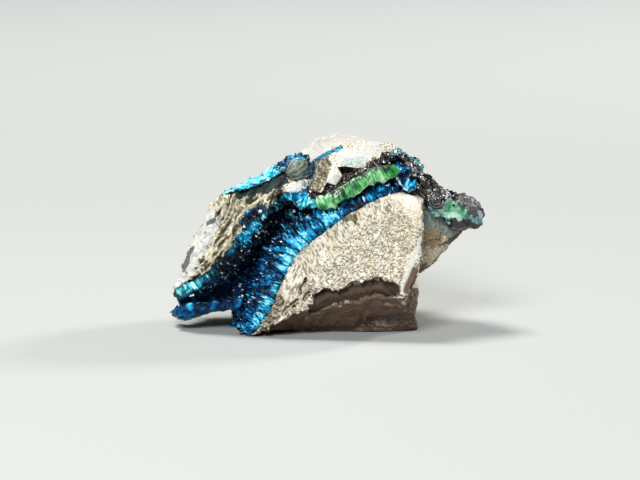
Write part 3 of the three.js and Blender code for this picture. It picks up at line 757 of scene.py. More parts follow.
def rock_finish():
    """Pale cream stone, tan in its valleys, olive between its ribs, painted brown shade below, a painted
    highlight on its right rim, painted shade on its flat tops, and stained near the ore.
    """
    material, nodes, _ = new_finish("host_rock_stone")
    read = nodes.reading
    point = read("rest", "Vector")
    left, face, under = read("left"), read("face"), read("under")
    worm = grooves(nodes, point, read("brushed"), read("raked"))
    rib = ribs(nodes, point)
    mottle = nodes.noise(point, 1.3, 3.0, 0.6)
    broad = nodes.noise(point, 0.35, 2.0, 0.5)
    grit = nodes.noise(point, 14.0, 3.0, 0.7)

    cream = nodes.tint((0.76, 0.69, 0.54), (0.89, 0.85, 0.75), (mottle + (grit - 0.5) * 0.4).step(0.35, 0.62))
    rough = (grit - 0.5) * (0.9 - face * 0.2)
    dirt = ((1 - worm) * (0.4 + face * 0.5) + rough + read("brushed") * 0.08).step(0.14, 0.8)
    for name, cleared in (("smooth", 0.75), ("rim", 0.75), ("pale", 0.85), ("block", 0.75)):
        dirt = dirt * (1 - read(name) * cleared)
    # Flat tops are greyed as painted shade, against the strong light from above.
    flat_top_shade = nodes.tint((0.42, 0.36, 0.27), (0.56, 0.52, 0.44), (mottle + (grit - 0.5) * 0.5).step(0.4, 0.62))
    plain = nodes.layered(cream, [
        ((0.29, 0.23, 0.13), dirt * 0.95),
        # Painted highlight on the right rim.
        ((0.95, 0.92, 0.86), read("rim").step(0.3, 0.8) * 0.6),
        ((0.5, 0.39, 0.26), (broad + (mottle - 0.5) * 0.5).step(0.52, 0.7) * (1 - face) * 0.6),
        ((0.54, 0.538, 0.525), read("pale") * 0.9),
        (flat_top_shade, read("level") * 0.6),
        ((0.66, 0.655, 0.625), read("block") * 0.8),
        ((0.035, 0.022, 0.013), (read("crack") + (grit - 0.5) * 0.7).step(0.2, 0.45)),
    ])

    ribbed = (rib + (grit - 0.5) * 0.45).ramp(RIB_COLOURS)
    facet = (read("facet") + (grit - 0.5) * 0.4 + (mottle - 0.5) * 0.6).step(0.3, 0.52)
    ribbed = nodes.tint(ribbed, (0.61, 0.61, 0.59), facet * 0.92)
    colour = nodes.tint(plain, ribbed, left)

    pits = (grit * 0.6 + (1 - worm) * 0.3).step(0.3, 0.75)
    for name, mark_colour, strength, pitted in STAINS_AND_SHADE:
        share = (read(name) + (mottle - 0.5) * 0.4 + (grit - 0.5) * 0.45).step(0.2, 0.6)
        dark = tuple(c * (1 - pitted) for c in mark_colour)
        colour = nodes.tint(colour, nodes.tint(mark_colour, dark, pits), share * strength)
    loose = read("olive").at_least(read("wedge")).step(0.1, 0.5)
    crumbs = crumbled(nodes, point, 4.2).step(0.36, 0.6) * (grit + 0.4)
    # Painted shade on the undersides: brown, and darker under the chipped strip and along the break.
    brown = nodes.tint((0.19, 0.117, 0.078), (0.06, 0.036, 0.024), grit.step(0.3, 0.7))
    colour = nodes.layered(colour, [
        ((0.06, 0.042, 0.02), crumbs * loose * 0.8),
        ((0.76, 0.8, 0.77), (read("white") + (grit - 0.5) * 0.3).step(0.35, 0.5)),
        (brown, under * 0.92),
        ((0.05, 0.033, 0.024), read("chip") * under * 0.65),
        ((0.03, 0.018, 0.012), (read("break") + (mottle - 0.5)).step(0.3, 0.9) * under * 0.7),
    ])
    bump = worm * (0.4 + face * 0.6) * (1 - left) + rib * left * 1.5 + grit * 0.6
    close_finish(nodes, colour, 0.9, 0.25, (0.7, 0.06, bump))
    return material


def host_rock(solid):
    rock = remeshed(node_copy("host_rock", "host_rock_surface"), ROCK_VOXEL, 1)
    rock = dressed(rock, rock_relief(solid))
    return thinned(rock, ROCK_TRIANGLES, "front")


# The white shard that stands between the wedge and the hollow: [across, up, back] of its corners.
SHARD = [
    (0.4, 10.97, -1.9), (0.1, 10.35, -2.1), (-0.12, 9.7, -2.2), (0.33, 10.15, -2.5), (0.45, 9.5, -2.5),
    (0.66, 10.42, -1.9), (0.9, 10.12, -1.95), (0.58, 9.5, -2.2), (0.4, 10.9, -0.8), (-0.1, 9.7, -0.8),
    (0.85, 10.0, -0.8),
]


def white_shard():
    """A sharp-edged splinter of clean stone."""
    work = bmesh.new()
    corners = [work.verts.new(drawn(*corner)) for corner in SHARD]
    bmesh.ops.convex_hull(work, input=corners)
    loose = [corner for corner in work.verts if not corner.link_faces]
    bmesh.ops.delete(work, geom=loose, context="VERTS")
    bmesh.ops.recalc_face_normals(work, faces=work.faces)
    mesh = bpy.data.meshes.new("white_shard")
    work.to_mesh(mesh)
    work.free()
    shard = remeshed(new_object("white_shard", mesh), SHARD_VOXEL)
    nodes, given, spot, normal = relief_tree("shard relief", {"Roughness": 0.14})
    uneven = nodes.noise(spot * (1.0, 1.0, 0.6), 2.6, 3.0, 0.6) - 0.5
    shaped = moved(nodes, given, normal * uneven * given.other("Roughness"))
    return dressed(shard, close_tree(nodes, shaped))


def shard_finish():
    """White stone with a little grey grain."""
    material, nodes, point = new_finish("white_shard_stone")
    grit = nodes.noise(point, 9.0, 3.0, 0.65)
    colour = nodes.tint((0.82, 0.8, 0.74), (0.46, 0.39, 0.27), grit.step(0.5, 0.75))
    close_finish(nodes, colour, 0.85, 0.25, (0.5, 0.05, grit))
    return material


# ------------------------------------------------------------------------------------- the blue clinoclase

# Places on the front of the crust, many of them places of painted light or painted shade on the crystals:
# paths of
# [across, up], how far they reach, and how much of the reach is full strength.
CRUST_MARKS = {
    # Painted light: bright, bright_low, lively, left_bright, dots and lip_glow. Painted shade: gap and shade.
    "bright": ([[(-2.59, 4.54), (-1.96, 5.62), (-1.39, 6.37)], [(0.3, 7.95), (1.2, 8.4)]], 1.0, 0.3),
    "bright_low": ([[(-4.2, 1.1), (-3.7, 2.0), (-3.1, 3.1)]], 0.7, 0.3),
    "lively": (
        [
            [(-4.92, 2.46), (-5.11, 1.51), (-4.61, 0.69)],
            [(-1.01, 6.81), (-0.19, 7.45)],
            [(-5.6, 6.1), (-5.0, 6.6), (-4.7, 6.9)],
            [(-4.35, 7.7), (-3.91, 8.08), (-3.28, 8.58)],
            [(2.4, 8.95), (3.3, 9.35), (4.3, 9.75)],
        ],
        0.6, 0.2,
    ),
    "left_bright": ([[(-5.3, 6.15), (-5.0, 6.55), (-4.7, 6.9)], [(-4.05, 7.75), (-3.8, 8.05)]], 0.5, 0.4),
    "slab": ([[(-9.91, 2.33), (-9.53, 2.84), (-8.77, 3.16), (-8.35, 3.25)]], 0.5, 0.7),
    "lip": ([[(-9.6, 1.6), (-8.71, 1.7), (-7.45, 1.75), (-6.18, 1.8)]], 1.05, 0.8),
    "lens": ([[(4.6, 9.75), (5.3, 9.3)]], 0.5, 0.4),
    "lens_dark": ([[(4.8, 10.25), (5.35, 10.1)]], 0.36, 0.5),
    "wall_dark": ([[(-7.3, 4.2), (-6.5, 4.9)]], 0.6, 0.4),
    "deep": ([[(-8.0, 1.6), (-5.0, 4.0), (-3.0, 6.2), (-1.5, 7.9)]], 2.2, 0.7),
    "lip_end": ([[(-9.95, 1.75), (-9.85, 1.4)]], 0.6, 0.3),
    "lip_glow": ([[(-8.52, 2.21), (-8.77, 1.89)]], 0.35, 0.3),
    "gap": ([[(-6.5, 4.1), (-5.5, 5.3), (-4.4, 6.5), (-3.8, 7.2), (-3.1, 7.75), (-2.6, 7.95)]], 0.75, 0.4),
    "ceiling": ([[(-2.4, 8.75), (-1.9, 8.8), (-1.5, 8.6)]], 0.35, 0.6),
    "dots": ([[(4.4, 10.75), (4.6, 10.5)], [(5.1, 10.6), (5.3, 10.51)]], 0.42, 0.3),
    "shade": ([[(4.4, 11.15), (5.05, 11.15), (5.49, 10.85)], [(1.1, 7.9), (1.7, 8.1)]], 0.45, 0.5),
    "lens_rim": ([[(4.29, 10.0), (4.7, 9.31), (5.11, 9.09), (5.74, 8.96)]], 0.09, 0.5),
}


def crust_relief(solid):
    """Fibres that run out from the rock on the broken faces, and crowded crystal tips inside the fissure."""
    nodes, given, spot, normal = relief_tree("crust relief", {
        "Rock": "Object", "Swell": 0.03, "Fibre depth": 0.12, "Bundle depth": 0.2, "Tip height": 0.26,
        "Slab height": 0.12, "Lump height": 0.3, "Knob height": 0.2,
    })
    size = given.other
    root, grown, growth = grown_from(nodes, spot, size("Rock"))
    along = abs(normal.dot(growth))
    fan = root + nodes.drift(root, 1.2) * grown * 1.2
    bundle = nodes.cells(fan, 2.1, "F1", "Color").dot(ACROSS)
    cut = 1 - (along + (bundle - 0.5) * 0.3).step(0.45, 0.8)
    marks = marked(nodes, spot, solid, CRUST_MARKS)
    plain = 1 - marks["lip"]
    fibre = nodes.noise(fan, 5.0, 1.5, 0.6)
    bundles = nodes.cells(fan, 2.1)
    tips = nodes.cells(nodes.strayed(spot, 2.0, 0.3), 2.2)
    small_tips = nodes.cells(spot, 5.0)
    lumps = (nodes.noise(spot, 1.4, 1.0) - 0.5) * size("Lump height")
    knobs = (0.4 - nodes.cells(spot, 1.4)) * size("Knob height")
    height = (
        size("Swell")
        + (fibre - 0.5) * size("Fibre depth") * cut * 2.0 * plain
        + (0.4 - bundles) * size("Bundle depth") * cut * plain
        + (0.45 - tips) * size("Tip height") * (1 - cut)
        + (0.45 - small_tips) * size("Tip height") * 0.35 * (1 - cut)
        + marks["slab"] * size("Slab height")
        + (lumps + knobs) * marks["lip"]
    )
    pulled = marks["slab"] * (0.0, 0.0, -0.14) + marks["lip_end"] * (0.25, 0.0, 0.0)
    shaped = moved(nodes, given, (normal * height + pulled) * spot.dot(UP).step(0.0, 0.3))

    strand = nodes.cells(fan, 5.0, "F1", "Color").dot(ACROSS)
    patch = nodes.noise(spot, 1.1, 2.0)
    # Deeper back in the fissure the crystals are painted a little darker, as shade.
    inward = spot.dot(BACK).step(-4.6, -3.0)
    # Painted light on the broken faces and inside, where light shines through the thin fibres; the wall_dark
    # mark takes a little away.
    painted_light = marks["bright"] * 0.62 + marks["bright_low"] * 0.42 + marks["lively"] * 0.2
    painted_light = painted_light - marks["wall_dark"] * 0.2
    broken = (
        0.38
        + painted_light
        + (bundle - 0.5) * 0.62
        + (strand - 0.5) * (0.5 + marks["bright"] * 0.4)
        + (patch - 0.5) * 0.6
        - bundles.step(0.35, 0.6) * 0.25
        - grown.step(0.35, 0.9) * 0.16
        - grown.step(0.25, 0.0) * 0.16
        + marks["slab"] * 0.5
        + marks["lens"] * 0.28
        + marks["left_bright"] * 0.4
    )
    inside = (
        0.24
        + painted_light * 0.5
        + marks["left_bright"] * 0.5
        + (patch - 0.5) * 0.3
        - inward * 0.06
        - marks["gap"] * 0.14
    )
    # The dots are painted glints; the shade and gap marks are painted shade.
    lit = nodes.mix(inside, broken, cut) + marks["dots"] * 0.8 - marks["shade"] * 0.4 - marks["gap"] * 0.1
    lit = lit - marks["lens_dark"] * 0.6 + marks["ceiling"] * 0.4 + marks["slab"] * 0.25
    # The lip: random tone, with a painted highlight at the lip_glow mark.
    lip = 0.2 + (nodes.noise(spot, 2.1, 2.5, 0.65) - 0.5) * 1.7 + marks["lip_glow"] * 0.6
    left = fissure_side(spot).step(-0.2, 0.8)
    teal = left * (0.35 + patch * 0.5) * (cut * 0.7 + 0.3)
    teal = teal * (1 - marks["lip"] * 0.8 - marks["left_bright"] * 0.8)
    marks["glow"] = nodes.mix(lit, lip, marks["lip"])
    marks["teal"] = (teal + marks["slab"] + marks["wall_dark"] * 0.4).at_most(1.0)
    marks["underside"] = normal.dot(DOWN).step(0.3, 0.8)
    marks.update({"root": fan, "growth": growth, "grown": grown, "cut": cut})
    return close_tree(nodes, stored(nodes, shaped, marks))


def blade(name, sides, thickness, shoulder, tip):
    """A closed crystal one unit long along z: a flattened prism with a chisel tip off its middle."""
    work = bmesh.new()
    rings = []
    for height, width in ((0.0, 0.8), (shoulder, 1.0)):
        ring = []
        for side in range(sides):
            angle = math.tau * side / sides
            across, deep = width * math.cos(angle) / 2, width * thickness * math.sin(angle) / 2
            ring.append(work.verts.new((across, deep, height)))
        rings.append(ring)
    point = work.verts.new((tip, 0.0, 1.0))
    work.faces.new(list(reversed(rings[0])))
    for side in range(sides):
        after = (side + 1) % sides
        work.faces.new((rings[0][side], rings[0][after], rings[1][after], rings[1][side]))
        work.faces.new((rings[1][side], rings[1][after], point))
    bmesh.ops.recalc_face_normals(work, faces=work.faces)
    mesh = bpy.data.meshes.new(name)
    work.to_mesh(mesh)
    work.free()
    return new_object(name, mesh)


def crystal_growth():
    """Crystals on a surface, as many as its attribute "where" asks for, between its normal and its growth."""
    nodes, given = geometry_tree("crystal growth", {
        "Crystal": "Object", "Density": 50.0, "Shortest": 0.1, "Longest": 0.25, "Thinnest": 0.05,
        "Thickest": 0.1, "Along growth": 0.0, "Lean": 0.5, "Sunk": 0.25, "Seed": 1, "Finish": "Material",
    })
    size = given.other
    seed = size("Seed")
    inputs = {"Mesh": given, "Density": attribute(nodes, "where") * size("Density"), "Seed": seed}
    settings = {"distribute_method": "RANDOM"}
    points = nodes.add("GeometryNodeDistributePointsOnFaces", settings, inputs, "Points")

    def chance(kind, low, high, shift):
        """A random draw for each crystal. Each draw has its own shift of the seed."""
        inputs = {"Min": low, "Max": high, "Seed": seed + shift}
        return nodes.add("FunctionNodeRandomValue", {"data_type": kind}, inputs)

    share = size("Along growth")
    growth = attribute(nodes, "growth", "FLOAT_VECTOR")
    stray = chance("FLOAT_VECTOR", (-1.0, -1.0, -1.0), (1.0, 1.0, 1.0), 11) * size("Lean")
    heading = (points.other("Normal") * (1 - share) + growth * share + stray).unit()
    length = chance("FLOAT", size("Shortest"), size("Longest"), 23)
    width = chance("FLOAT", size("Thinnest"), size("Thickest"), 37)

    points = stored(nodes, points, {"chance": chance("FLOAT", 0.0, 1.0, 41)})
    turned = nodes.add("FunctionNodeAlignRotationToVector", {"axis": "Z"}, {"Vector": heading})
    angle = chance("FLOAT", 0.0, math.tau, 53)
    spin = nodes.add("FunctionNodeAxisAngleToRotation", (), {"Axis": UP, "Angle": angle})
    inputs = {"Rotation": turned, "Rotate By": spin}
    turned = nodes.add("FunctionNodeRotateRotation", {"rotation_space": "LOCAL"}, inputs)
    points = moved(nodes, points, heading * length * size("Sunk") * -1.0)
    settings = {"transform_space": "ORIGINAL"}
    shape = nodes.add("GeometryNodeObjectInfo", settings, {"Object": size("Crystal")}, "Geometry")
    scale = nodes.add("ShaderNodeCombineXYZ", (), {"X": width, "Y": width, "Z": length})
    inputs = {"Points": points, "Instance": shape, "Rotation": turned, "Scale": scale}
    crystals = nodes.add("GeometryNodeInstanceOnPoints", (), inputs)
    crystals = nodes.add("GeometryNodeRealizeInstances", (), [crystals])
    inputs = {"Geometry": crystals, "Material": size("Finish")}
    return close_tree(nodes, nodes.add("GeometryNodeSetMaterial", (), inputs))


def grown_crystals(name, ground, where, tree, values):
    """The crystals that grow on the ground piece where its vertices' share of them is above zero."""
    bed = new_object(name, ground.data.copy())
    mask = bed.data.attributes.new("where", "FLOAT", "POINT")
    mask.data.foreach_set("value", where)
    return dressed(bed, tree, values)


CLINOCLASE = [
    (0.0, (0.001, 0.003, 0.012)),
    (0.18, (0.001, 0.017, 0.064)),
    (0.36, (0.001, 0.075, 0.235)),
    (0.52, (0.001, 0.205, 0.52)),
    (0.66, (0.003, 0.4, 0.77)),
    (0.84, (0.03, 0.68, 0.86)),
    (1.0, (0.42, 0.93, 0.96)),
]
TEAL = [
    (0.0, (0.001, 0.004, 0.008)),
    (0.25, (0.002, 0.03, 0.045)),
    (0.5, (0.004, 0.14, 0.2)),
    (0.7, (0.02, 0.4, 0.48)),
    (0.85, (0.1, 0.66, 0.7)),
    (1.0, (0.5, 0.94, 0.93)),
]


def crust_finish():
    """Blue fibres, with painted light where they are thin and bright, and nearly black inside the fissure,
    partly by painted shade.
    """
    material, nodes, point = new_finish("clinoclase_fibres")
    read = nodes.reading
    root = read("root", "Vector")
    cut = read("cut")
    fine = nodes.noise(root, 13.0, 2.0, 0.6)
    along = nodes.noise(root * 6.0 + point * 1.5, 1.0, 1.0)
    calm = read("lip").at_least(read("slab") * 0.5)
    lit = read("glow") + ((fine - 0.5) * 1.75 + (along - 0.5) * 0.4) * (0.25 + cut * 0.75) * (1 - calm * 0.7)
    rooted = nodes.tint((0.006, 0.05, 0.06), (0.05, 0.3, 0.3), fine.step(0.45, 0.65))
    sea = nodes.tint((0.004, 0.09, 0.1), (0.1, 0.42, 0.42), fine.step(0.42, 0.62))
    colour = nodes.layered(lit.ramp(CLINOCLASE), [
        (lit.ramp(TEAL), read("teal")),
        (rooted, (1 - read("grown").step(0.04, 0.3)) * cut * 0.6),
        ((0.7, 0.76, 0.7), read("lens_rim").step(0.3, 0.7)),
        (sea, read("underside") * calm * 0.5),
    ])
    close_finish(nodes, colour, 0.32 - calm * 0.1, 0.18, (0.8, 0.05, fine * (1 - calm * 0.8)))
    return material


def crystal_finish(name, stops, lift, spread, roughness, teal=0.0, pale=0.96, shine=0.4):
    """Crystals of one mineral, each with its own share of the colour's range, which carries painted light,
    and a few of them painted pale as sparkles.
    """
    material, nodes, point = new_finish(name)
    chance = nodes.reading("chance")
    grain = nodes.noise(point, 8.0, 1.0)
    lit = nodes.reading("glow") + lift + (chance - 0.5) * spread + (grain - 0.5) * 0.3
    colour = lit.ramp(stops)
    if stops is CLINOCLASE:
        colour = nodes.tint(colour, lit.ramp(TEAL), nodes.reading("teal") + teal)
    # The pale crystals are painted highlights: sparkles.
    colour = nodes.tint(colour, (0.93, 0.96, 1.0), chance.step(pale, min(1.0, pale + 0.02)))
    close_finish(nodes, colour, roughness, shine)
    return material


# ------------------------------------------------------------------------------- the strip and the nodule

NODULE = drawn(-1.9, 10.45, -1.5)  # the middle of the broken nodule's face
NODULE_RADIUS = 0.98
NODULE_HEART = drawn(-3.2, 9.6, -1.5)  # where the nodule's fibres start
STRIP_END = drawn(-3.1, 10.5, -1.8)  # where the strip meets the nodule
ON_DRAWING = (1.0, 0.0, 1.0)  # leaves out the depth of a place


def nodule_fibres(nodes, point, scale):
    """Fibres that spread from the nodule's heart over its broken face."""
    away = (point - NODULE_HEART) * ON_DRAWING
    return nodes.noise(away.unit() * 2.2 + point * 0.16, scale, 2.0, 0.6)


def upper_relief():
    """A strip of crowded crystals, and the broken face of the nodule with its slanting fibres."""
    nodes, given, spot, normal = relief_tree("upper crust relief", {
        "Swell": -0.05, "Tip height": 0.17, "Fibre depth": 0.16, "Face depth": 0.08,
    })
    size = given.other
    flat = (spot - NODULE) * ON_DRAWING
    oval = nodes.turned(flat, 30) * (0.82, 0.0, 1.15)
    ragged = oval.length() + (nodes.noise(spot, 2.2, 2.0) - 0.5) * 0.9
    face = ragged.step(NODULE_RADIUS * 1.08, NODULE_RADIUS * 0.9) * normal.dot(FRONT).step(0.25, 0.6)
    ray = nodule_fibres(nodes, spot, 5.0)
    tips = nodes.cells(nodes.strayed(spot, 2.0, 0.3), 3.4)
    height = (
        size("Swell")
        + (0.42 - tips) * size("Tip height") * (1 - face)
        + (ray - 0.5) * size("Fibre depth") * face
        - face * size("Face depth")
    )
    shaped = moved(nodes, given, normal * height)
    away = flat.length()
    rim = away.step(NODULE_RADIUS * 0.6, NODULE_RADIUS * 0.9) * away.step(1.5, 1.2)
    rim = rim * flat.dot(Vector((-0.25, 0.0, 0.97))).step(-0.4, 0.1) * (1 - face)
    # Faces that turn down get painted shade: a darker glow and a dark teal colour in the finish.
    under = normal.dot(DOWN).step(0.0, 0.6)
    joint = nodes.near(spot, [STRIP_END], 0.75, 0.4)
    glow = 0.82 + (nodes.noise(spot, 2.4, 1.5) - 0.5) * 1.35 + (0.42 - tips) * 0.6 - under * 0.5
    return close_tree(nodes, stored(nodes, shaped, {
        "growth": (flat.unit() + (0.0, -0.4, 0.0)).unit(),
        "face": face,
        "rim": rim,
        "under": under,
        "glow": glow - rim * (1 - joint) * 0.55 + joint * 0.2,
        "teal": 0.3 + (nodes.noise(spot, 1.1) - 0.5) * 1.5,
        "rest": spot,
    }))


NODULE_COLOURS = [
    (0.34, (0.012, 0.035, 0.036)),
    (0.46, (0.08, 0.12, 0.11)),
    (0.58, (0.2, 0.245, 0.205)),
    (0.7, (0.5, 0.49, 0.4)),
]


def upper_finish():
    """Bright cyan crystal, dark teal painted shade on its underside, and the grey-teal broken face of the
    nodule.
    """
    material, nodes, point = new_finish("upper_crust_crystal")
    read = nodes.reading
    face = read("face")
    fine = nodes.noise(point, 9.0, 2.0, 0.6)
    lit = read("glow") + (fine - 0.5) * 0.9
    ray = nodule_fibres(nodes, read("rest", "Vector"), 11.0)
    colour = nodes.layered(lit.ramp(CLINOCLASE), [
        (lit.ramp(TEAL), read("teal")),
        (nodes.tint((0.008, 0.03, 0.035), (0.02, 0.09, 0.1), fine.step(0.4, 0.7)), read("under")),
        ((ray + (fine - 0.5) * 0.3).ramp(NODULE_COLOURS), face),
    ])
    close_finish(nodes, colour, 0.35, 0.35, (0.5, 0.05, fine * 0.7 + ray * face * 1.5))
    return material


# ------------------------------------------------------------------------------------------ the green band

GREEN_DARK = [(0.9, 8.55), (-0.4, 7.8), (4.2, 10.3), (3.7, 10.7)]  # deep green places, [across, up]
GREEN_DEPTH = -2.6  # how far back the band's face lies
GREEN_KNOB = (4.15, 10.35)  # [across, up] of the deep green bead at the right end
GREEN_SLANT = 30  # how far the fibres lean from upright, in degrees
GREEN_COLOURS = [
    (0.0, (0.004, 0.035, 0.016)),
    (0.22, (0.01, 0.13, 0.035)),
    (0.45, (0.05, 0.34, 0.09)),
    (0.7, (0.25, 0.68, 0.28)),
    (1.0, (0.68, 0.93, 0.62)),
]


def green_relief():
    """A band of fine fibres that run across it and end in scallops along its lower edge."""
    nodes, given, spot, normal = relief_tree("green crust relief", {
        "Fibre depth": 0.16, "Scallop height": 0.34, "Upper edge": 0.42, "Lower edge": 0.4,
    })
    size = given.other
    laid = nodes.turned(nodes.strayed(spot, 1.5, 0.3), GREEN_SLANT) * (1.0, 0.5, 0.16)
    fibre = nodes.noise(laid, 5.0, 1.5, 0.6)
    bundle = nodes.cells(nodes.turned(spot, GREEN_SLANT) * (1.0, 0.6, 0.35), 1.9, "SMOOTH_F1")
    lower = normal.dot(Vector((0.45, 0.0, -0.89)))
    scallop = (0.4 - bundle) * size("Scallop height") * (0.4 + lower.at_least(0.0))
    height = (fibre - 0.5) * size("Fibre depth") + scallop
    across = spot.dot(ACROSS)
    raised = (lower * -1.0).step(-0.2, 0.6) * size("Upper edge") * (1 - across.step(2.4, 4.2) * 0.6)
    tucked = lower.step(-0.1, 0.7) * size("Lower edge") * (1 - across.step(2.6, 3.8) * 0.9)
    ends = across.step(0.2, -0.9) * (0.22, 0.0, 0.0)
    offset = normal * height + raised * (-0.25, -0.12, 0.9) + tucked * (-0.2, 0.0, 1.0) + ends
    values = {"lower": lower.step(-0.8, 0.8), "bundle": bundle, "rest": spot}
    return close_tree(nodes, stored(nodes, moved(nodes, given, offset), values))


def green_finish():
    """Deep green where the fibres start, light green along the scalloped edge."""
    material, nodes, point = new_finish("green_fibres")
    lower = nodes.reading("lower")
    rest = nodes.reading("rest", "Vector")
    laid = nodes.turned(nodes.strayed(rest, 1.5, 0.3), GREEN_SLANT) * (1.0, 0.5, 0.14)
    fine = nodes.noise(laid, 11.0, 2.0, 0.6)
    broad = nodes.noise(laid, 4.5, 1.5, 0.5)
    patch = nodes.noise(point, 1.1, 1.0)
    dark = nodes.near(point, [drawn(*place, GREEN_DEPTH) for place in GREEN_DARK], 0.9, 0.1)
    lit = (
        0.66
        + (lower - 0.4) * 0.6
        + (fine - 0.5) * 1.3
        + (broad - 0.5) * 1.0
        + (patch - 0.5) * 1.2
        - nodes.reading("bundle").step(0.35, 0.6) * 0.2
        - dark * 0.5
    )
    top = (0.75 - lower).step(0.4, 0.7)
    right = point.dot(ACROSS).step(0.2, 1.8)
    grey = top * (broad + (fine - 0.5) * 0.6).step(0.45, 0.6) * (1 - right * 0.8)
    # The band's top is darkened with painted shade.
    band_top_shade = top * (broad + (fine - 0.5) * 0.8 - right * 0.25).step(0.5, 0.3)
    off_knob = (point - drawn(*GREEN_KNOB, GREEN_DEPTH)) * (1.25, 0.4, 0.9)
    knob = off_knob.length().step(0.6, 0.12)
    knob = (knob + (broad - 0.5) * 0.6 + (fine - 0.5) * 0.5).step(0.35, 0.5)
    colour = nodes.layered(lit.ramp(GREEN_COLOURS), [
        ((0.6, 0.67, 0.56), grey * 0.75),
        ((0.012, 0.03, 0.02), band_top_shade * 0.85),
        (nodes.tint((0.003, 0.09, 0.01), (0.02, 0.36, 0.04), fine.step(0.3, 0.6)), knob * 0.9),
    ])
    radius = (0.1 * MM, 0.3 * MM, 0.1 * MM)
    light = {"Subsurface Weight": 0.25, "Subsurface Radius": radius, "Subsurface Scale": 1.0}
    close_finish(nodes, colour, 0.38, 0.4, (0.8, 0.06, fine + broad), light)
    return material


# ------------------------------------------------------------------------------------------ the black crust

BUTTON = drawn(6.8, 8.55, -2.1)  # the ringed dome's middle
BUTTON_RADIUS = 0.64
RING_STEP = 0.2
DOME_SLANT = 45  # how the crowded domes are stretched, in degrees from upright
# Places on the front of the black crust, given as on the rock.
BLACK_MARKS = {
    "mint": ([[(7.0, 7.75), (7.45, 7.7), (8.01, 7.89)], [(7.6, 8.1), (8.3, 7.76)]], 0.52, 0.5),
    "mint_pale": ([[(6.9, 7.8), (7.32, 7.6)], [(7.9, 7.6), (8.1, 7.5)]], 0.45, 0.4),
    "slate": ([[(8.5, 7.66), (9.1, 7.42), (9.7, 7.3)]], 0.31, 0.5),
    "chin": ([[(9.3, 6.95), (9.75, 7.0)]], 0.5, 0.4),
    "nose": ([[(8.52, 8.71), (8.96, 8.46), (9.4, 8.08)]], 0.62, 0.7),
    # Painted reflections: grey streaks.
    "glaze": ([[(7.3, 8.95), (7.7, 8.7), (8.1, 8.45), (8.4, 8.3)], [(5.0, 10.5), (5.3, 10.3)]], 0.36, 0.4),
    # Painted highlight on the nose's tip.
    "tip": ([[(9.6, 7.8), (9.75, 7.65)]], 0.24, 0.3),
    # Painted shade under the nose.
    "belly": ([[(7.7, 7.1), (8.52, 7.15), (9.5, 7.2)]], 0.45, 0.5),
    "band": ([[(-1.5, 8.6), (-0.5, 8.9), (0.8, 9.5), (2.0, 10.2), (3.4, 10.9)]], 0.6, 0.7),
    "sea_edge": (
        [[(3.97, 11.77), (4.54, 11.67), (5.05, 11.45), (5.55, 11.11), (5.81, 10.88), (6.03, 10.47)]],
        0.19, 0.5,
    ),
    "seam": ([[(6.06, 7.95), (6.44, 7.7), (6.94, 7.51), (7.51, 7.26), (8.01, 7.07)]], 0.2, 0.4),
    "fan": ([[(-1.45, 8.58), (-1.07, 8.27), (-0.82, 8.0)]], 0.36, 0.6),
    "glints": (
        [[(5.3, 10.47), (5.55, 9.84), (6.06, 9.46), (6.81, 9.21), (7.51, 8.83), (8.14, 8.71)]],
        0.7, 0.4,
    ),
}


def black_relief(solid):
    """Small domes crowded together, a ringed dome among them, and long lobes on the nose."""
    nodes, given, spot, normal = relief_tree("black crust relief", {
        "Dome height": 0.46, "Ring height": 0.06, "Button height": 0.2, "Lobe height": 0.35,
        "Grain height": 0.04,
    })
    size = given.other
    marks = marked(nodes, spot, solid, BLACK_MARKS)
    laid = nodes.turned(nodes.strayed(spot, 1.5, 0.4), DOME_SLANT) * (1.0, 1.0, 0.6)
    domes = nodes.cells(laid, 2.0)
    beads = nodes.cells(laid, 4.4)
    off = ((spot - BUTTON) * (1.0, 0.6, 1.0)).length()
    button = off.step(BUTTON_RADIUS * 1.1, BUTTON_RADIUS * 0.92)
    rings = (off * (math.tau / RING_STEP)).sine()
    plain = marks["nose"].at_least(marks["belly"]).at_least(marks["mint"] * 0.6)
    calm = (1 - button) * (1 - plain * 0.85)
    height = (
        (0.45 - domes) * size("Dome height") * calm
        + (0.4 - beads) * size("Dome height") * 0.34 * calm
        + (nodes.noise(spot, 1.8, 1.0) - 0.5) * size("Lobe height") * marks["nose"]
        + (nodes.noise(spot, 5.0, 2.0, 0.6) - 0.5) * size("Grain height") * (1 - button * 0.8)
        + (rings * size("Ring height") + size("Button height") - off * 0.2) * button
    )
    nose = marks["nose"] * (0.02, 0.0, 0.16) + marks["tip"] * (0.22, 0.0, 0.0)
    belly = marks["belly"] * (0.05, -0.05, -0.3) + marks["chin"] * (-0.3, 0.0, 0.35)
    shaped = moved(nodes, given, normal * height + nose + belly)
    glow = 0.5 + (nodes.noise(spot, 2.5, 1.0) - 0.5) * 0.9 + marks["fan"] * 0.3
    teal = marks["sea_edge"] + marks["seam"] * 0.5 + marks["fan"] * 0.3
    # The dome share lets the finish paint a sheen on each dome's crest.
    marks.update({"rings": rings * button, "button": button, "glow": glow, "teal": teal, "dome": 0.6 - domes})
    marks["growth"] = normal * 0.3 + (-0.35, -0.55, -0.7)
    return close_tree(nodes, stored(nodes, shaped, marks))


MINT_COLOURS = [
    (0.36, (0.01, 0.08, 0.04)),
    (0.46, (0.05, 0.3, 0.15)),
    (0.56, (0.18, 0.46, 0.27)),
    (0.68, (0.5, 0.78, 0.6)),
]


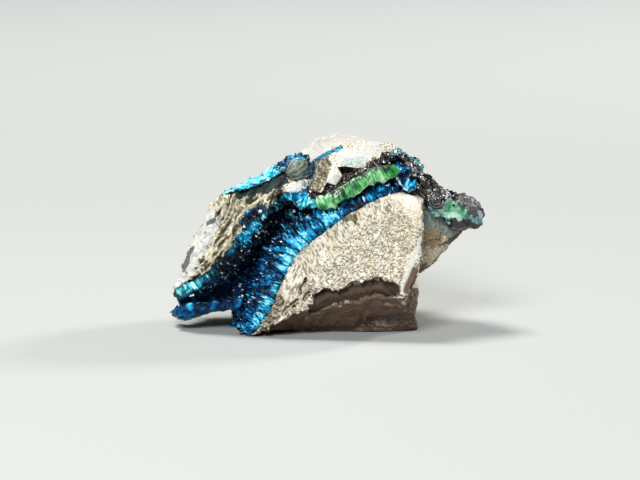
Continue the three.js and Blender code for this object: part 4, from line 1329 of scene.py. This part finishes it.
def black_finish():
    """Glossy near-black crust, grey on its nose, with brown glints on its band and a mint patch by a dome.
    Painted sheen on the dome crests, a painted highlight at the nose's tip, painted reflections in grey
    streaks and painted shade under the nose.
    """
    material, nodes, point = new_finish("black_crust_glaze")
    read = nodes.reading
    rings, button = read("rings"), read("button")
    grit = nodes.noise(point, 7.0, 2.0, 0.6)
    patch = nodes.noise(point, 1.6, 2.0, 0.6)
    ragged = (grit - 0.5) * 0.6 + (patch - 0.5) * 0.6

    def shade(name, low=0.3, high=0.6):
        return (read(name) + ragged).step(low, high)

    def grainy(dark, pale, low, high):
        return nodes.tint(dark, pale, grit.step(low, high))

    # A painted sheen, lighter brown-grey, on each dome's crest.
    crest_sheen = (read("dome") + (grit - 0.5) * 0.6 + (patch - 0.5) * 0.8).step(0.14, 0.5)
    crest_sheen_colour = nodes.tint((0.03, 0.028, 0.029), (0.2, 0.175, 0.16), patch.step(0.3, 0.65))
    polish = (patch + (grit - 0.5) * 0.3).step(0.4, 0.62)
    grey = nodes.tint((0.035, 0.037, 0.042), (0.105, 0.11, 0.115), polish)
    ringed = nodes.tint((0.012, 0.012, 0.013), (0.12, 0.12, 0.12), rings.step(-0.1, 0.8))
    # Painted highlight at the nose's tip.
    gleaming = (read("tip") + ragged * 0.6).step(0.35, 0.8)
    mint = (patch * 0.7 + grit * 0.3 + read("mint_pale") * 0.2).ramp(MINT_COLOURS)
    colour = nodes.layered(nodes.tint((0.003, 0.003, 0.004), crest_sheen_colour, crest_sheen), [
        (grey, shade("nose")),
        (grainy((0.03, 0.03, 0.035), (0.42, 0.43, 0.47), 0.46, 0.58), shade("glaze")),
        (nodes.tint((0.004, 0.003, 0.003), (0.018, 0.014, 0.012), grit), shade("belly")),
        (grainy((0.03, 0.1, 0.12), (0.2, 0.42, 0.43), 0.35, 0.65), shade("slate")),
        (grainy((0.012, 0.009, 0.01), (0.24, 0.17, 0.15), 0.52, 0.7), shade("band", 0.2)),
        (ringed, button),
        (mint, shade("mint", 0.15, 0.55)),
        (grainy((0.006, 0.07, 0.08), (0.12, 0.45, 0.4), 0.4, 0.65), shade("sea_edge")),
        (grainy((0.01, 0.12, 0.25), (0.6, 0.85, 0.9), 0.42, 0.6), read("seam").step(0.3, 0.7)),
        (grainy((0.2, 0.22, 0.23), (0.62, 0.66, 0.67), 0.42, 0.6), gleaming),
    ])
    dull = read("nose").at_least(read("mint")).at_least(read("belly"))
    close_finish(nodes, colour, 0.16 + dull * 0.3, 0.8, (0.35, 0.04, grit))
    return material


# ----------------------------------------------------------------------------------------- the whole piece

BLACK_GRAIN = [
    (0.0, (0.002, 0.002, 0.003)),
    (0.5, (0.012, 0.011, 0.012)),
    (0.75, (0.06, 0.045, 0.04)),
    (1.0, (0.55, 0.5, 0.46)),
]
HOLLOW_GRAIN = [
    (0.0, (0.004, 0.003, 0.003)),
    (0.45, (0.02, 0.013, 0.01)),
    (0.75, (0.16, 0.11, 0.06)),
    (1.0, (0.78, 0.74, 0.6)),
]

rock_solid = node_copy("host_rock", "host_rock_solid")
crust_solid = node_copy("clinoclase_crust", "clinoclase_crust_solid")
black_solid = node_copy("black_crust", "black_crust_solid")
# The crystals' shapes: their sides, how thick they are, where their shoulder is and how far off their tip.
needle = blade("needle", 4, 0.6, 0.7, 0.1)
stub = blade("stub", 5, 0.75, 0.6, 0.12)
pebble = blade("pebble", 6, 0.9, 0.62, 0.2)
growing = crystal_growth()

rock = host_rock(rock_solid)
shard = white_shard()

crust = remeshed(node_copy("clinoclase_crust", "clinoclase_crust_surface"), CRUST_VOXEL, 3)
crust = dressed(crust, crust_relief(crust_solid), {"Rock": rock_solid})

upper = remeshed(node_copy("upper_clinoclase_crust", "upper_clinoclase_crust_surface"), FINE_VOXEL, 3)
upper = dressed(upper, upper_relief())

green = remeshed(node_copy("green_crust", "green_crust_surface"), FINE_VOXEL, 3)
green = dressed(green, green_relief())

black = remeshed(node_copy("black_crust", "black_crust_surface"), FINE_VOXEL, 2)
black = dressed(black, black_relief(black_solid))

# The looks of the crystals: their colours, how far up those they lie, how widely they spread over them, their
# roughness, how much they lean to teal, past which share of them they are painted pale as sparkles, and how
# much they shine.
needle_look = crystal_finish("clinoclase_needles", CLINOCLASE, 0.03, 0.95, 0.25, pale=0.985, shine=0.2)
tip_look = crystal_finish("clinoclase_tips", CLINOCLASE, 0.0, 0.34, 0.15)
glint_look = crystal_finish("clinoclase_glints", CLINOCLASE, 0.2, 0.5, 0.08, pale=0.4, shine=1.0)
wall_look = crystal_finish("clinoclase_wall", CLINOCLASE, -0.15, 0.4, 0.22, 0.35, pale=0.99)
ceiling_look = crystal_finish("clinoclase_ceiling", CLINOCLASE, 0.02, 0.4, 0.2, 0.2, pale=0.985, shine=0.2)
seam_look = crystal_finish("clinoclase_seam", CLINOCLASE, 0.05, 0.5, 0.18, 0.3)
black_look = crystal_finish("black_grains", BLACK_GRAIN, 0.0, 0.5, 0.15, pale=0.9)
hollow_look = crystal_finish("hollow_grains", HOLLOW_GRAIN, -0.1, 0.9, 0.4, pale=0.99)
pebble_look = crystal_finish("hollow_pebbles", HOLLOW_GRAIN, 0.08, 0.7, 0.6, pale=0.99)


def fronted(name, strength=1.0):
    """A mark's values on the rock where it faces the front, and none behind."""
    return [share * front * strength for share, front in zip(readings(rock, name), readings(rock, "front"))]


def larger(shares, others):
    return [max(pair) for pair in zip(shares, others)]


# Where crystals grow. The lip and the slab are almost bare of them.
cut = readings(crust, "cut")
smooth = larger(readings(crust, "lip"), [share * 0.7 for share in readings(crust, "slab")])
bare = [max(0, 1 - 1.6 * share) for share in smooth]
faces = [c * b for c, b in zip(cut, bare)]
inside = [(1 - c) * b for c, b in zip(cut, bare)]
deepest = [share * deep for share, deep in zip(inside, readings(crust, "deep"))]
strip = [1 - face for face in readings(upper, "face")]
notch = larger(fronted("notch"), fronted("vein", 0.45))
hollow = fronted("hollow")
band = larger(readings(black, "band"), [share * 0.12 for share in readings(black, "glints")])
shoulder = larger(readings(black, "sea_edge"), readings(black, "seam"))

# The crystals: their piece, what they grow on and where, their shape, look and slot, and then how many there
# are to a square millimetre, the shortest and longest, the thinnest and thickest, how far they follow the
# growth of the crust and not its normal, how far they lean from that, how much of each is sunk, their seed.
CRYSTAL_SIZES = (
    "Density", "Shortest", "Longest", "Thinnest", "Thickest", "Along growth", "Lean", "Sunk", "Seed",
)
CRYSTALS = [
    ("clinoclase_needles", crust, faces, needle, needle_look, "clinoclase",
     (48.0, 0.22, 0.6, 0.05, 0.16, 0.85, 0.28, 0.45, 3)),
    ("clinoclase_tips", crust, inside, stub, tip_look, "clinoclase",
     (34.0, 0.12, 0.3, 0.08, 0.2, 0.2, 0.55, 0.35, 5)),
    ("fissure_glints", crust, deepest, stub, glint_look, "clinoclase",
     (2.2, 0.16, 0.3, 0.14, 0.26, 0.1, 0.5, 0.2, 25)),
    ("wall_crystals", rock, fronted("wall"), stub, wall_look, "clinoclase",
     (30.0, 0.3, 0.65, 0.14, 0.32, 0.85, 0.25, 0.4, 27)),
    ("fan_crystals", black, readings(black, "fan"), needle, ceiling_look, "clinoclase",
     (44.0, 0.45, 0.8, 0.12, 0.26, 0.9, 0.25, 0.3, 29)),
    ("inner_ceiling_crystals", crust, readings(crust, "ceiling"), needle, ceiling_look, "clinoclase",
     (22.0, 0.3, 0.55, 0.18, 0.36, 0.5, 0.4, 0.3, 31)),
    ("strip_crystals", upper, strip, stub, seam_look, "clinoclase",
     (40.0, 0.06, 0.15, 0.06, 0.13, 0.0, 0.6, 0.5, 7)),
    ("nodule_rim_crystals", upper, readings(upper, "rim"), needle, tip_look, "clinoclase",
     (34.0, 0.2, 0.42, 0.12, 0.26, 0.8, 0.25, 0.45, 9)),
    ("ceiling_crystals", rock, fronted("ceiling"), needle, ceiling_look, "clinoclase",
     (24.0, 0.35, 0.7, 0.18, 0.4, 0.8, 0.35, 0.3, 11)),
    ("notch_crystals", rock, notch, stub, seam_look, "clinoclase",
     (70.0, 0.08, 0.2, 0.06, 0.14, 0.4, 0.5, 0.3, 13)),
    ("top_edge_crystals", rock, fronted("top_edge"), stub, seam_look, "clinoclase",
     (24.0, 0.08, 0.18, 0.05, 0.1, 0.3, 0.5, 0.3, 15)),
    ("hollow_grains", rock, hollow, stub, hollow_look, "black_mineral",
     (24.0, 0.15, 0.4, 0.14, 0.36, 0.2, 0.8, 0.4, 17)),
    ("hollow_pebbles", rock, hollow, pebble, pebble_look, "black_mineral",
     (8.0, 0.3, 0.5, 0.3, 0.55, 0.3, 0.8, 0.3, 35)),
    ("black_grains", black, band, stub, black_look, "black_mineral",
     (24.0, 0.08, 0.24, 0.08, 0.24, 0.0, 0.7, 0.45, 19)),
    ("shoulder_crystals", black, shoulder, stub, seam_look, "clinoclase",
     (50.0, 0.06, 0.16, 0.05, 0.12, 0.0, 0.6, 0.4, 21)),
]
grown = []
for name, ground, where, crystal, look, slot, sizes in CRYSTALS:
    values = {"Crystal": crystal, "Finish": look, **dict(zip(CRYSTAL_SIZES, sizes))}
    grown.append((grown_crystals(name, ground, where, growing, values), look, slot))

placed(rock, rock_finish(), ["host_rock"])
placed(shard, shard_finish())
placed(crust, crust_finish(), ["clinoclase_crust"])
placed(upper, upper_finish(), ["upper_clinoclase_crust"])
placed(green, green_finish(), ["green_crust"])
placed(black, black_finish(), ["black_crust"])
for piece, look, slot in grown:
    placed(piece, look, smooth=False)

for leftover in (rock_solid, crust_solid, black_solid, needle, stub, pebble):
    bpy.data.objects.remove(leftover)


# ------------------------------------------------------------------------------------ floor, light, camera

FLOOR_HALF = 1.5  # half the floor's side, in metres
PAPER_NEAR = (0.435, 0.456, 0.45)
PAPER_FAR = (0.675, 0.712, 0.715)  # paler behind, where less of the lamps' light falls
PAPER_FADE = (40.0, 220.0)  # from how far back to how far back it turns paler, in millimetres
SKY = (0.94, 0.965, 1.0, 1.0)
SKY_STRENGTH = 0.12
# The lamps: their place from the specimen's middle and their size in metres, their watts and their colour.
LAMPS = [
    ("key", (-0.08, 0.03, 0.26), 0.09, 0.8, (1.0, 0.97, 0.92)),
    ("rim", (0.22, 0.12, 0.14), 0.06, 0.5, (1.0, 0.97, 0.92)),
    ("front", (-0.06, -0.23, 0.17), 0.10, 0.74, (0.98, 0.985, 1.0)),
]


def studio():
    """A plain pale floor, soft light from above and behind, and softer light from the front."""
    mesh = bpy.data.meshes.new("floor")
    corners = [(x * FLOOR_HALF, y * FLOOR_HALF, 0) for x, y in ((-1, -1), (1, -1), (1, 1), (-1, 1))]
    mesh.from_pydata(corners, [], [(0, 1, 2, 3)])
    floor = new_object("floor", mesh)
    material, nodes, point = new_finish("floor_paper")
    close_finish(nodes, nodes.tint(PAPER_NEAR, PAPER_FAR, point.dot(BACK).step(*PAPER_FADE)), 0.9, 0.1)
    mesh.materials.append(material)

    world = bpy.data.worlds.new("studio")
    world.use_nodes = True
    background = next(n for n in world.node_tree.nodes if n.type == "BACKGROUND")
    background.inputs["Color"].default_value = SKY
    background.inputs["Strength"].default_value = SKY_STRENGTH
    bpy.context.scene.world = world

    middle = (cad_box[0] + cad_box[1]) / 2
    for name, away, size, watts, colour in LAMPS:
        lamp = bpy.data.lights.new(name, "AREA")
        lamp.shape = "DISK"
        lamp.size = size
        lamp.energy = watts
        lamp.color = colour
        holder = new_object(name, lamp)
        holder.location = middle + Vector(away)
        holder.rotation_euler = Vector(away).to_track_quat("Z", "Y").to_euler()


def camera():
    data = bpy.data.cameras.new("camera")
    data.sensor_width = SENSOR
    data.lens = SENSOR * CAMERA_DISTANCE / (IMAGE_WIDTH * PIXEL)
    data.clip_start = 0.005
    data.clip_end = 10.0
    holder = new_object("camera", data)
    away = Vector((0.0, -math.cos(VIEW_TIP), math.sin(VIEW_TIP)))
    holder.location = (drawn(*AIM) + away * CAMERA_DISTANCE) * MM
    holder.rotation_euler = away.to_track_quat("Z", "Y").to_euler()
    bpy.context.scene.camera = holder


studio()
camera()
bpy.context.scene.view_settings.view_transform = "Standard"
